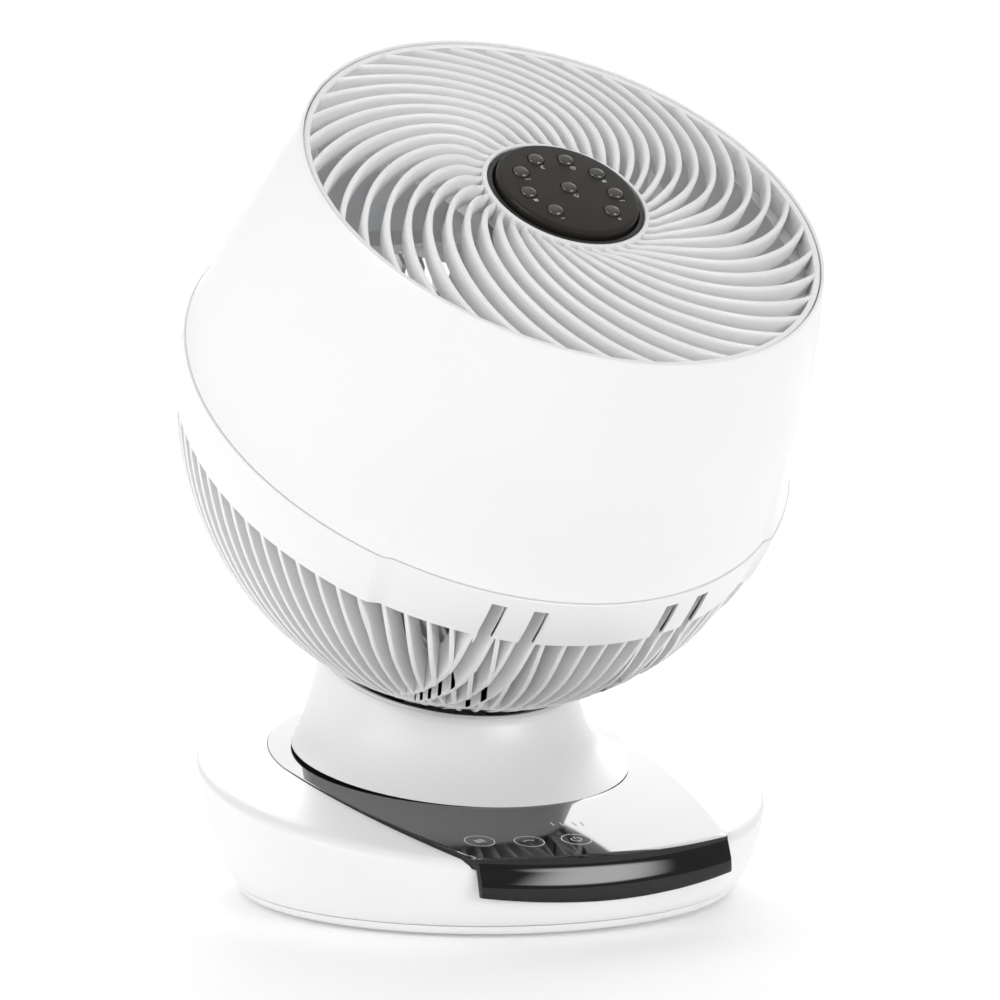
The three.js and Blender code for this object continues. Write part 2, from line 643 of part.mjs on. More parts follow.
const touchTop = -DECK_WALL - GAP;
const touchFront = TOUCH_BACK - PANEL_FRONT;
add(deck, 'touch_board', block(-TOUCH_HALF, TOUCH_HALF, touchFront, touchFront + TOUCH_L,
  touchTop - BOARD_T, touchTop), BOARD_GREEN);
const receiverTop = touchTop - BOARD_T - GAP;
add(deck, 'ir_receiver', block(-IR_HALF, IR_HALF, touchFront + 1, touchFront + 1 + IR_T,
  receiverTop - IR_T, receiverTop), DARK);

// ---- neck --------------------------------------------------------------------------
// A ring of the neck at a height over the deck plane, drawn in by an inset.
function neckRing(up, inset) {
  const down = (NECK_UP - up) / (NECK_UP - NECK_FLARE_UP);
  const drop = NECK_UP - NECK_FLARE_UP;
  const flare = Math.max(0, down) ** NECK_FLARE_POWER;
  const footBack = NECK_BACK - NECK_LEAN * drop;
  const footR = NECK_R + NECK_TAPER * drop;
  const back = NECK_BACK + NECK_LEAN * (up - NECK_UP) - footBack * flare;
  const r = NECK_R + NECK_TAPER * (NECK_UP - up) + (NECK_FLARE_R - footR) * flare;
  return circle(r - inset, up, NECK_FACETS, back);
}
// The height at which the neck's side, drawn in by an inset, meets a ball round the head.
function neckMeets(j, inset, ballR) {
  let up = NECK_UP;
  for (let pass = 0; pass < 12; pass += 1) {
    const [x, y] = neckRing(up, inset)[j];
    up = BALL_UP - Math.sqrt(ballR * ballR - x * x - y * y);
  }
  return up;
}
// A ring of the neck part of the way from one height up to the ball.
function neckPart(from, share, inset, ballR) {
  return Array.from({ length: NECK_FACETS }, (_, j) => {
    const up = mix(from, neckMeets(j, inset, ballR), share);
    return neckRing(up, inset)[j];
  });
}

const turretTop = TURRET_UP + TURRET_T;
const neckFloor = turretTop + GAP + 2;
const flangeR = BEARING_R;
const footPlateR = 61.5;            // yoke's foot plate, set back inside the flange
const footPlateBack = 4;
function neckHousing() {
  const rim = BALL_R + BALL_GAP;
  const outer = [0, 0.05, 0.11, 0.2, 0.34, 0.6, 1].map((f) => neckPart(NECK_FLARE_UP, f, 0, rim));
  const inner = [1, 0.5, 0.2, 0].map((f) => neckPart(neckFloor, f, WALL, rim));
  const flange = [
    circle(flangeR, neckFloor, NECK_FACETS), circle(flangeR, turretTop + GAP, NECK_FACETS),
    circle(TURRET_R + 0.5, turretTop + GAP, NECK_FACETS), circle(TURRET_R + 0.5, NECK_FLARE_UP, NECK_FACETS),
  ];
  return loft([...outer, ...inner, ...flange], true);
}
add(deck, 'neck_housing', neckHousing(), WHITE);

// A soft ring inside the neck's rim that closes the gap to the ball.
function collarSeal() {
  const at = (ballR, inset) => neckPart(0, 1, inset, ballR);
  const [near, far] = [BALL_R + 1.4, BALL_R + BALL_GAP + 5];
  const [out, in_] = [WALL + GAP, WALL + GAP + 1.8];
  return loft([at(far, out), at(near, out), at(near, in_), at(far, in_)], true);
}
add(deck, 'collar_seal', collarSeal(), RUBBER);

// ---- yoke and tilt drive ---------------------------------------------------------------
const cheekLean = Math.atan2(CHEEK_MID[1], BALL_UP - CHEEK_MID[0]);
function cheekOutline() {
  const foot = turretTop + GAP + 1;
  const points = [
    [foot, CHEEK_FOOT_BACK - CHEEK_FOOT_HALF], [CHEEK_MID[0], CHEEK_MID[1] - CHEEK_MID_HALF],
  ];
  for (let i = 0; i <= 8; i += 1) {
    const a = rad(-90 + (i / 8) * 180);
    points.push([BALL_UP + CHEEK_END_R * Math.cos(a), CHEEK_END_R * Math.sin(a)]);
  }
  points.push([CHEEK_MID[0], CHEEK_MID[1] + CHEEK_MID_HALF], [foot, CHEEK_FOOT_BACK + CHEEK_FOOT_HALF]);
  return points;
}

function tiltYoke() {
  const outline = cheekOutline();
  const plateTop = turretTop + GAP + 3;
  const foot = cut(drum(footPlateR, turretTop + GAP, plateTop, 28, 0, footPlateBack),
    drum(TURRET_BORE, 0, 20, 20));
  const cheeks = CHEEK_X.flatMap((x) => [x, -x]).map((x) => slab(outline, x - CHEEK_T / 2, x + CHEEK_T / 2));
  const bore = rod(PIN_R + GAP, -60, 60, 16, 0, BALL_UP);
  return cut(join(foot, cheeks), bore);
}
add(deck, 'tilt_yoke', tiltYoke(), STEEL);

const pinFrom = CHEEK_X[0] - CHEEK_T / 2 - 0.7;
const pinTo = CHEEK_X[1] + CHEEK_T / 2 + GAP;
for (const [name, side] of [['left', -1], ['right', 1]]) {
  const span = (a, b, r) => rod(r, Math.min(a * side, b * side), Math.max(a * side, b * side), 16, 0, BALL_UP);
  const head = span(pinTo, pinTo + 2, PIN_R + 2.5);
  add(deck, `pivot_pin_${name}`, join(span(pinFrom, pinTo + 2, PIN_R), head), STEEL);
}

const sectorR = (GEAR_MODULE * TILT_TEETH) / 2;
const tiltReach = gearReach(TILT_TEETH);
const tiltPinionUp = BALL_UP - tiltReach * Math.cos(cheekLean);
const tiltPinionBack = tiltReach * Math.sin(cheekLean);
const motorEnd = SECTOR_X - SECTOR_T / 2 - 4;
const motorStart = -CHEEK_X[0] + CHEEK_T / 2 + GAP;
add(deck, 'tilt_motor', rod(GEARMOTOR_R, motorStart, motorEnd, 20, tiltPinionBack, tiltPinionUp), MOTOR_GREY);
function tiltPinion() {
  const aim = ([u, v]) => {              // a tooth points at the tilt axis
    const [c, s] = [Math.cos(cheekLean), -Math.sin(cheekLean)];
    return [tiltPinionUp + u * c - v * s, tiltPinionBack + u * s + v * c];
  };
  const half = SECTOR_T / 2 + 0.5;
  return join(slab(pinionOutline.map(aim), SECTOR_X - half, SECTOR_X + half),
    rod(3, motorEnd + GAP, SECTOR_X + half + 2, 16, tiltPinionBack, tiltPinionUp));
}
add(deck, 'tilt_pinion', tiltPinion(), GEAR_WHITE);

// Where the yoke leaves the head in the rest pose, degrees from the rear pole to the bottom.
const yokeAt = 90 - HEAD_TILT - DECK_TILT - THREE.MathUtils.radToDeg(cheekLean);
const fromPole = (r, degrees) => [-r * Math.cos(rad(degrees)), -r * Math.sin(rad(degrees))];

function tiltSector() {
  const pitch = 360 / TILT_TEETH;
  const first = Math.ceil((SECTOR_FROM - yokeAt) / pitch);
  const last = Math.floor((SECTOR_TO - yokeAt) / pitch) - 1;
  const teeth = gearRim(TILT_TEETH, first, last).map(([u, v]) => {
    const at = THREE.MathUtils.radToDeg(Math.atan2(v, u)) + yokeAt + pitch / 2;
    return fromPole(Math.hypot(u, v), at);
  });
  const seat = MOUNT_S - GAP;
  return slab([...teeth, [seat, -sectorR * 0.8], [seat, sectorR * 0.4], [-sectorR * 0.5, sectorR * 0.45]],
    SECTOR_X - SECTOR_T / 2, SECTOR_X + SECTOR_T / 2);
}
add(head, 'tilt_sector', tiltSector(), GEAR_WHITE);

// ---- head shells -----------------------------------------------------------------------
// How far the underside of the shell is sunk, at a place along the axis and an angle from
// the lowest meridian.
function relief(s, phi) {
  const inside_ = clamp01((RELIEF_HALF - Math.abs(phi)) / RELIEF_EDGE);
  return RELIEF_DEPTH * inside_ * clamp01((RELIEF_START - s) / (RELIEF_START - RELIEF_END));
}
const shellAngles = (() => {
  const even = Array.from({ length: 48 }, (_, i) => -176 + i * 7.5);
  const edges = [-RELIEF_HALF, -RELIEF_HALF + RELIEF_EDGE, RELIEF_HALF - RELIEF_EDGE, RELIEF_HALF];
  return [...even.filter((a) => edges.every((e) => Math.abs(a - e) > 2)), ...edges].sort((a, b) => a - b);
})();
const around = (r, s, phi) => [r * Math.sin(rad(phi)), -r * Math.cos(rad(phi)), s];

// A thin shell swept round the head axis from its outside profile, [s, radius].
function sweptShell(profile, wallAt) {
  const lining = profile.filter((_, i) => i % 2 === 0 || i === profile.length - 1);
  return loft(shellAngles.map((phi) => {
    const outer = profile.map(([s, r]) => around(r - relief(s, phi), s, phi));
    const inner = lining.map(([s, r]) => around(r - relief(s, phi) - wallAt(s), s, phi));
    return [...outer, ...inner.reverse()];
  }), true);
}
const frontWallAt = (s) => mix(SHELL_T, RIM_WALL, clamp01((s - RIM_THIN_S) / (RIM_S - RIM_THIN_S)));
const frontProfile = FRONT_SHAPE.map(([s, share], i) =>
  [i ? s : s + GAP / 2, mix(BALL_R - SEAM_STEP, RIM_R, share)]);
add(head, 'front_shell', sweptShell(frontProfile, frontWallAt), WHITE);

const onBall = (s, r = BALL_R) => Math.sqrt(r * r - s * s);
function rearBand() {
  const top = SHELL_SEAM - GAP / 2;
  const stations = [BAND_END, -10, top];
  return sweptShell(stations.map((s) => [s, onBall(s)]), () => SHELL_T);
}

const RIB_STEP = 18;             // degrees of arc per straight run of a rib
// A curved bar on the ball between two directions, seen from the ball's centre.
function ballBar(from, to, start, end, thick, outerAt) {
  const side = to.clone().addScaledVector(from, -from.dot(to)).normalize();
  const steps = Math.max(2, Math.round((end - start) / rad(RIB_STEP)));
  const arc = Array.from({ length: steps + 1 }, (_, i) => mix(start, end, i / steps));
  const inner = BALL_R - REAR_RIB_DEEP;
  const outline = [
    ...arc.map((a) => [outerAt(a) * Math.cos(a), outerAt(a) * Math.sin(a)]),
    ...arc.reverse().map((a) => [inner * Math.cos(a), inner * Math.sin(a)]),
  ];
  const normal = from.clone().cross(side);
  const turn = new THREE.Matrix4().makeBasis(from, side, normal);
  return solid(prism(outline, thick).translate(0, 0, -thick / 2).applyMatrix4(turn));
}

function rearRibs() {
  const pole = new THREE.Vector3(0, -Math.sin(rad(REAR_POLE)), -Math.cos(rad(REAR_POLE)));
  const edge = BALL_R - REAR_RIB_INSET;
  const ringAt = Math.asin(REAR_RING_R / BALL_R);
  const hubAt = Math.asin((REAR_HUB_R - REAR_HUB_T / 2) / BALL_R);
  return Array.from({ length: REAR_RIBS }, (_, k) => {
    const phi = REAR_RIB_SHIFT + (k * 360) / REAR_RIBS;
    const folded = ((phi + 180) % 360) - 180;
    const from = new THREE.Vector3(...around(onBall(BAND_END), BAND_END, phi)).normalize();
    const end = from.angleTo(pole) - (k % 2 ? ringAt : hubAt);
    const sunk = relief(BAND_END, folded) + REAR_RIB_INSET;
    const outerAt = (a) => mix(edge - sunk, edge, clamp01(a / 0.25));
    return ballBar(from, pole, -0.02, end, REAR_RIB_T, outerAt);
  });
}

// A ring round the ribs' meeting point, in that group's own axes.
function poleRing(r, thick, deep) {
  const outer = BALL_R - REAR_RIB_INSET;
  const up = onBall(r, outer);
  const down = onBall(r, outer - deep);
  const g = [[r, up], [r - thick, up + thick * 0.4], [r - thick, down], [r, down]];
  const m = new THREE.Matrix4().makeRotationX(rearPole.rotation.x);
  return solid(geometryOf(turned(g, 24)).applyMatrix4(m));
}

// The arc of a slot or its edge fin, in the plane at x.
function slotArc(x, outer, inner, from, to) {
  const steps = 5;
  const arc = Array.from({ length: steps + 1 }, (_, i) => mix(from, to, i / steps));
  const at = (r) => (a) => fromPole(onBall(x, r), a);
  return [...arc.map(at(outer)), ...arc.reverse().map(at(inner))];
}
const slotEnd = THREE.MathUtils.radToDeg(Math.acos(-SLOT_TOP / BALL_R));
const bandAt = THREE.MathUtils.radToDeg(Math.acos(-BAND_END / BALL_R));
function slotFins() {
  const [outer, inner] = [BALL_R - REAR_RIB_INSET * 2, BALL_R - REAR_RIB_DEEP];
  return CHEEK_X.flatMap((x) => [x - SLOT_HALF - FIN_T, x + SLOT_HALF]).flatMap((x0) => [1, -1].map((side) => {
    const outline = slotArc(x0 + FIN_T / 2, outer, inner, -SLOT_PAST - 1.5, bandAt - 2);
    return slab(outline, side > 0 ? x0 : -x0 - FIN_T, side > 0 ? x0 + FIN_T : -x0);
  }));
}
function slotCuts() {
  return CHEEK_X.flatMap((x) => [x, -x]).map((x) => slab(
    slotArc(x, BALL_R + 8, BALL_R - 20, -SLOT_PAST, slotEnd), x - SLOT_HALF, x + SLOT_HALF));
}

function rearShell() {
  const ribs = rearRibs();
  const ring = poleRing(REAR_RING_R, REAR_RING_T, REAR_RIB_DEEP);
  const hub = poleRing(REAR_HUB_R, REAR_HUB_T, REAR_RIB_DEEP);
  return cut(join(rearBand(), ribs, ring, hub, slotFins()), slotCuts());
}
add(head, 'rear_shell', rearShell(), WHITE);

const capR = REAR_HUB_R - REAR_HUB_T - GAP;
add(rearPole, 'rear_cap', turned([
  [0, BALL_R - REAR_RIB_INSET], [capR * 0.6, onBall(capR * 0.6, BALL_R - REAR_RIB_INSET)],
  [capR, onBall(capR, BALL_R - REAR_RIB_INSET)], [capR, BALL_R - REAR_RIB_DEEP], [0, BALL_R - REAR_RIB_DEEP],
], 32), WHITE);

// ---- front grille and dock ---------------------------------------------------------------
function swirlRib(k) {
  const stations = [GRILLE_FROM, 44, 54, 70, 92, GRILLE_TO];
  const place = (r) => rad(GRILLE_TURN - GRILLE_SWIRL * (GRILLE_OUT - r) + (k * 360) / GRILLE_RIBS);
  return loft(stations.map((r) => {
    const a = place(r);
    const lean = Math.atan(r * rad(GRILLE_SWIRL));           // rib direction off the radius
    const side = [-Math.sin(a + lean), Math.cos(a + lean)];
    const front = RIM_S + interpolate(GRILLE_RISE, r);
    const corner = (w, s) => [r * Math.cos(a) + side[0] * w, r * Math.sin(a) + side[1] * w, s];
    const half = GRILLE_RIB_T / 2;
    return [corner(-half, front), corner(half, front), corner(half, front - GRILLE_RIB_DEEP),
      corner(-half, front - GRILLE_RIB_DEEP)];
  }));
}
const DOCK_BACK = DUCT_TO + GAP;
function frontGrille() {
  const rimTop = RIM_S - 1;
  const ring = turned([
    [GRILLE_RING_R - GRILLE_RING_T, rimTop], [GRILLE_RING_R, rimTop],
    [GRILLE_RING_R, DOCK_BACK], [GRILLE_RING_R - GRILLE_RING_T, DOCK_BACK],
  ], 48);
  const hub = turned([
    [GRILLE_HUB_R - GRILLE_HUB_T, RIM_S - GAP], [GRILLE_HUB_R, RIM_S - GAP],
    [GRILLE_HUB_R, DOCK_BACK], [GRILLE_HUB_R - GRILLE_HUB_T, DOCK_BACK],
  ], 36);
  return join(ring, hub, Array.from({ length: GRILLE_RIBS }, (_, k) => swirlRib(k)));
}
add(head, 'front_grille', frontGrille(), WHITE);

const remoteBack = REMOTE_TOP - REMOTE_T;
const cupR = GRILLE_HUB_R - GRILLE_HUB_T - GAP;
add(head, 'dock_cup', turned([
  [0, remoteBack - GAP], [REMOTE_R + 0.5, remoteBack - GAP], [REMOTE_R + 0.5, RIM_S - 0.8],
  [cupR, RIM_S - 0.8], [cupR, remoteBack - GAP - DOCK_WALL], [0, remoteBack - GAP - DOCK_WALL],
], 36), DARK);
const magnetTop = remoteBack - DOCK_WALL - GAP * 2;
add(head, 'dock_magnet', drum(7, magnetTop - 2.5, magnetTop, 20), STEEL);

// ---- remote control ------------------------------------------------------------------------
const splitS = remoteBack + REMOTE_T / 2;
const lidUnder = REMOTE_TOP - REMOTE_WALL;
const keyPlaces = [[0, 0],
  ...KEY_ANGLES.map((a) => [KEY_RING * Math.cos(rad(a)), KEY_RING * Math.sin(rad(a))])];
add(head, 'remote_lower', turned([
  [0, remoteBack], [REMOTE_R - 0.8, remoteBack], [REMOTE_R, remoteBack + 0.8], [REMOTE_R, splitS - GAP / 2],
  [REMOTE_R - REMOTE_WALL, splitS - GAP / 2], [REMOTE_R - REMOTE_WALL, remoteBack + REMOTE_WALL],
  [0, remoteBack + REMOTE_WALL],
], 36), REMOTE_BLACK);
function remoteUpper() {
  const lid = turned([
    [0, lidUnder], [REMOTE_R - REMOTE_WALL, lidUnder], [REMOTE_R - REMOTE_WALL, splitS + GAP / 2],
    [REMOTE_R, splitS + GAP / 2], [REMOTE_R, REMOTE_TOP - 1], [REMOTE_R - 1, REMOTE_TOP], [0, REMOTE_TOP],
  ], 36);
  return cut(lid, keyPlaces.map(([x, y]) => drum(KEY_R + GAP, lidUnder - 1, REMOTE_TOP + 1, 10, x, y)));
}
add(head, 'remote_upper', remoteUpper(), REMOTE_BLACK);
const flangeT = 0.7;
const keyFoot = lidUnder - GAP - flangeT;
const boardFace = keyFoot - KEY_TRAVEL;
add(head, 'remote_board', drum(REMOTE_R - REMOTE_WALL - GAP * 2, boardFace - 1, boardFace, 32), BOARD_GREEN);
const cellFrom = remoteBack + REMOTE_WALL + GAP;
add(head, 'coin_cell', drum(10, cellFrom, boardFace - 1 - GAP, 24), STEEL);
keyPlaces.forEach(([x, y], i) => {
  const key = add(head, `key_${i + 1}`, turned([
    [0, keyFoot], [KEY_R + 0.8, keyFoot], [KEY_R + 0.8, keyFoot + flangeT], [KEY_R, keyFoot + flangeT],
    [KEY_R, REMOTE_TOP + 0.2], [0, REMOTE_TOP + 1],
  ], 10), KEY_BLACK);
  key.position.set(x, y, 0);
});

// ---- inside the head ---------------------------------------------------------------------
add(head, 'air_duct', turned([
  [DUCT_R - DUCT_T, DUCT_FROM + GAP], [DUCT_R, DUCT_FROM + GAP], [DUCT_R, DUCT_TO - 3],
  [DUCT_R + DUCT_FLANGE, DUCT_TO - 2], [DUCT_R + DUCT_FLANGE, DUCT_TO], [DUCT_R - DUCT_T, DUCT_TO],
], 36), PALE);

function motorMount() {
  const back = MOUNT_S + MOUNT_T;
  const disc = drum(MOUNT_R, MOUNT_S, back, 24);
  const ring = turned([
    [DUCT_R - 1, MOUNT_S + 2], [DUCT_R + 2, MOUNT_S + 2], [DUCT_R + 2, DUCT_FROM], [DUCT_R - 1, DUCT_FROM],
  ], 30);
  const arms = Array.from({ length: MOUNT_ARMS }, (_, i) => {
    const g = new THREE.BoxGeometry(MOUNT_REACH - MOUNT_R + 8, MOUNT_ARM_T, DUCT_FROM - MOUNT_S - 2);
    g.translate((MOUNT_REACH + MOUNT_R - 8) / 2, 0, (DUCT_FROM + MOUNT_S + 2) / 2);
    return solid(g.rotateZ(rad(22.5 + (i * 360) / MOUNT_ARMS)));
  });
  const lug = [[MOUNT_S + 1, -LUG_R - 2], [MOUNT_S + 1, LUG_R + 2]];
  for (let i = 0; i <= 8; i += 1) {
    const a = rad(90 + (i / 8) * 180);
    lug.push([LUG_R * Math.cos(a), LUG_R * Math.sin(a)]);
  }
  const lugs = [slab(lug, LUG_X[0], LUG_X[1]), slab(lug, -LUG_X[1], -LUG_X[0])];
  const bore = rod(BUSH_R + GAP, -LUG_X[1] - 1, LUG_X[1] + 1);
  const clear = drum(FAN_MOTOR_R + 4, back, DUCT_FROM + 1, 24);
  return cut(join(disc, ring, arms, lugs), bore, clear);
}
add(head, 'motor_mount', motorMount(), PALE);
for (const [name, side] of [['left', -1], ['right', 1]]) {
  const [x0, x1] = side > 0 ? LUG_X : [-LUG_X[1], -LUG_X[0]];
  add(head, `pivot_bush_${name}`, cut(rod(BUSH_R, x0, x1), rod(PIN_R + GAP, x0 - 1, x1 + 1)), DARK);
}

const motorFrom = MOUNT_S + MOUNT_T + GAP;
const shaftFrom = motorFrom + 4;
add(head, 'fan_motor', cut(
  turned([[0, motorFrom], [FAN_MOTOR_R, motorFrom], [FAN_MOTOR_R, motorFrom + FAN_MOTOR_L - 4],
    [FAN_MOTOR_R - 4, motorFrom + FAN_MOTOR_L], [0, motorFrom + FAN_MOTOR_L]], 28),
  drum(SHAFT_R + GAP, shaftFrom - GAP, HUB_TO, 12)), MOTOR_GREY);
add(head, 'motor_shaft', drum(SHAFT_R, shaftFrom, SHAFT_END, 12), STEEL);

// An impeller blade: thin flat lens sections, wide and flat at the tip, steep at the root.
function blade(k) {
  const stations = [0, 0.3, 0.65, 1].map((t) => mix(HUB_R - 3, BLADE_TIP_R, t));
  const lens = [[-0.5, 0.1], [0, 0.6], [0.5, 0.1], [0.5, -0.1], [0, -0.4], [-0.5, -0.1]];
  return loft(stations.map((r) => {
    const t = (r - stations[0]) / (BLADE_TIP_R - stations[0]);
    const chord = mix(38, 66, t);
    const pitch = rad(mix(50, 24, t));
    const out = Math.sqrt(r * r - ((chord / 2) * Math.cos(pitch)) ** 2);    // corners at radius r
    const [c, s] = [Math.cos, Math.sin].map((f) => f((k * 2 * Math.PI) / BLADES + 0.35 * t));
    return lens.map(([share, w]) => {
      const along = share * chord;
      const side = along * Math.cos(pitch) - w * BLADE_T * Math.sin(pitch);
      const up = BLADE_MID + along * Math.sin(pitch) + w * BLADE_T * Math.cos(pitch);
      return [out * c - side * s, out * s + side * c, up];
    });
  }), false, true);
}
function impeller() {
  const hub = turned([
    [0, HUB_FROM], [HUB_R, HUB_FROM], [HUB_R, HUB_TO - 8], [HUB_R - 5, HUB_TO], [0, HUB_TO],
  ], 28);
  const blades = Array.from({ length: BLADES }, (_, k) => blade(k));
  return cut(join(hub, blades), drum(SHAFT_R + GAP, 0, HUB_TO + 1, 12));
}
add(head, 'impeller', impeller(), PALE);
add(head, 'spinner_nut', cut(
  turned([[0, HUB_TO + GAP], [14, HUB_TO + GAP], [11, HUB_TO + 7], [5, HUB_TO + 9.5], [0, HUB_TO + 9.5]], 16),
  drum(SHAFT_R + GAP, HUB_TO - 1, SHAFT_END + GAP, 12)), DARK);

export default fan;
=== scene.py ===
# %% [markdown]
# # A table-top air circulator, dressed for its portrait
#
# The imported CAD model is the frame: it says where every piece stands and what moves with what.
# Its solids are faceted, so this lesson models the visible mouldings again with smooth surfaces,
# in the same places, and paints the solids that already look right.

# %% The frame: its solids, joints and record
import json
import math

import bmesh
import bpy
from mathutils import Matrix, Vector


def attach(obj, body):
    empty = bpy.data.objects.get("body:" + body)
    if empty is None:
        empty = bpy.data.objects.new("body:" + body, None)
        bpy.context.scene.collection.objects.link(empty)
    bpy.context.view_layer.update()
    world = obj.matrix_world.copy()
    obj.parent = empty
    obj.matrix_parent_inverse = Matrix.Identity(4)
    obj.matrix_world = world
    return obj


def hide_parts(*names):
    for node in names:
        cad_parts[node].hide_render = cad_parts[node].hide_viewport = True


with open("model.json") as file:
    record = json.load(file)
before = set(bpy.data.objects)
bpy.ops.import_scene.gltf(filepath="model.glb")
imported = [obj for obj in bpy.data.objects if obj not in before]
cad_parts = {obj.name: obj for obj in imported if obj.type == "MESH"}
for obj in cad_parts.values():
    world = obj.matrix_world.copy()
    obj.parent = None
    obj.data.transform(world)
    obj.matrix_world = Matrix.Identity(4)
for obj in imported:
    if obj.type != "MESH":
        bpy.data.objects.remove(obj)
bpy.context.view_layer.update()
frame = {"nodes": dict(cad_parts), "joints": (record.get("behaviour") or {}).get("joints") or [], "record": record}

# %% [markdown]
# Blender works in metres and a moulding is drawn in millimetres, so every size is written as a
# number of `mm`. The fan leans twice: the deck of the base slopes to the front, and the head
# leans back. Both leans are read from the joints, so each piece can be modelled upright round
# its own axis and then put in place in one step.

# %% Units and the two leaning axes
mm = 0.001
joints = {joint["name"]: joint for joint in frame["joints"]}
pan_place = Vector(joints["neck_pan"]["pos_m"])
pan_axis = Vector(joints["neck_pan"]["axis"])
tilt_place = Vector(joints["head_tilt"]["pos_m"])
head_axis = Vector(joints["impeller_spin"]["axis"])


def leaning(place, axis):
    """The matrix that stands a piece drawn along Z on a leaning axis."""
    return Matrix.Translation(place) @ Matrix.Rotation(math.atan2(-axis.y, axis.z), 4, "X")


TO_DECK = leaning(pan_place, pan_axis)
TO_HEAD = leaning(tilt_place, head_axis)
BALL_R = 145 * mm
BALL_UP = (tilt_place - pan_place).length
print("ball centre above the deck:", round(BALL_UP / mm, 2), "mm")

# %% [markdown]
# The same few moves come back for every piece: deselect everything, add a primitive, work in
# edit mode, apply a modifier, and put the piece in place. `settle` finishes a piece: it bakes
# the place into the mesh, names the body that carries it and the CAD solid that it stands for.

# %% Helpers for the bench
def deselect():
    bpy.ops.object.select_all(action="DESELECT")


def take(piece, mode="OBJECT"):
    """Makes one piece the only selected and active one."""
    deselect()
    piece.select_set(True)
    bpy.context.view_layer.objects.active = piece
    if mode == "EDIT":
        bpy.ops.object.mode_set(mode="EDIT")
        bpy.ops.mesh.select_all(action="SELECT")


def leave_edit():
    bpy.ops.object.mode_set(mode="OBJECT")


def modify(piece, kind, **settings):
    """Adds a modifier, sets it and applies it."""
    take(piece)
    modifier = piece.modifiers.new(kind.title(), kind)
    for name, value in settings.items():
        setattr(modifier, name, value)
    bpy.ops.object.modifier_apply(modifier=modifier.name)


def carve(piece, cutter):
    """Cuts one piece out of another, and throws the cutter away."""
    modify(piece, "BOOLEAN", operation="DIFFERENCE", solver="EXACT", object=cutter)
    bpy.data.objects.remove(cutter)


def join(name, pieces):
    """Joins pieces into the first of them."""
    take(pieces[0])
    for piece in pieces:
        piece.select_set(True)
    bpy.ops.object.join()
    pieces[0].name = name
    return pieces[0]


def put(piece, matrix):
    """Moves a piece by a matrix, and leaves its object at the origin."""
    take(piece)
    piece.matrix_world = matrix
    bpy.ops.object.transform_apply(location=True, rotation=True, scale=True)
    return piece


def copied(piece, matrix):
    """A copy with its own mesh, moved by a matrix."""
    fresh = piece.copy()
    fresh.data = piece.data.copy()
    bpy.context.scene.collection.objects.link(fresh)
    return put(fresh, matrix)


def face_outwards(piece):
    take(piece, "EDIT")
    bpy.ops.mesh.remove_doubles(threshold=0.001 * mm)
    bpy.ops.mesh.normals_make_consistent(inside=False)
    leave_edit()
    return piece


def settle(piece, place, body, material, stands_for=(), crease=35):
    """Finishes a piece: its place, its shading, its material, its body and what it replaces."""
    put(piece, place)
    take(piece)
    bpy.ops.object.shade_smooth_by_angle(angle=math.radians(crease))
    piece.data.materials.clear()
    piece.data.materials.append(material)
    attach(piece, body)
    if stands_for:
        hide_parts(*stands_for)
    piece.data.name = piece.name
    print(f"{piece.name}: {len(piece.data.polygons)} faces on {body}")
    return piece


# %% [markdown]
# Two ways of drawing a skin cover nearly everything here. A *turned* piece is an outline of
# vertices extruded one after another and spun round the axis. A *lofted* piece starts as a
# circle whose edge loop is extruded ring by ring, and each new ring is put on its own section:
# that keeps quads all the way, and suits walls that aren't round.

# %% Turning and lofting
def turned(name, outline, steps=128):
    """Spins an outline of (radius, height) round Z. It closes on itself or on the axis."""
    deselect()
    bpy.ops.mesh.primitive_plane_add(size=mm)
    piece = bpy.context.object
    piece.name = name
    bpy.ops.object.mode_set(mode="EDIT")
    bpy.ops.mesh.merge(type="CENTER")
    bpy.ops.transform.translate(value=(outline[0][0], 0, outline[0][1]))
    for (r0, z0), (r1, z1) in zip(outline, outline[1:]):
        bpy.ops.mesh.extrude_vertices_move(TRANSFORM_OT_translate={"value": (r1 - r0, 0, z1 - z0)})
    if outline[0][0] > 0 or outline[-1][0] > 0:
        mesh = bmesh.from_edit_mesh(piece.data)
        for vertex in mesh.verts:
            vertex.select = len(vertex.link_edges) < 2
        bpy.ops.mesh.edge_face_add()
    bpy.ops.mesh.select_all(action="SELECT")
    bpy.ops.mesh.spin(steps=steps, angle=2 * math.pi, center=(0, 0, 0), axis=(0, 0, 1))
    leave_edit()
    return face_outwards(piece)


def loft(name, rings, ends="caps"):
    """Extrudes a loop through rings of equally many points. Its ends are capped, or bridged."""
    deselect()
    bpy.ops.mesh.primitive_circle_add(vertices=len(rings[0]), radius=mm)
    piece = bpy.context.object
    piece.name = name
    bpy.ops.object.mode_set(mode="EDIT")
    mesh = bmesh.from_edit_mesh(piece.data)
    column = mesh.verts.layers.int.new("column")
    for index, vertex in enumerate(mesh.verts):
        vertex[column] = index
        vertex.co = rings[0][index]
    if ends == "caps":
        bpy.ops.mesh.edge_face_add()
        bpy.ops.mesh.select_all(action="SELECT")
    for ring in rings[1:]:
        bpy.ops.mesh.extrude_edges_move()
        mesh = bmesh.from_edit_mesh(piece.data)
        column = mesh.verts.layers.int["column"]
        for vertex in mesh.verts:
            if vertex.select:
                vertex.co = ring[vertex[column]]
    if ends == "caps":
        bpy.ops.mesh.edge_face_add()
    else:
        bpy.ops.mesh.select_all(action="SELECT")
        bpy.ops.mesh.region_to_loop()
        bpy.ops.mesh.bridge_edge_loops()
    mesh = bmesh.from_edit_mesh(piece.data)
    mesh.verts.layers.int.remove(mesh.verts.layers.int["column"])
    leave_edit()
    return face_outwards(piece)


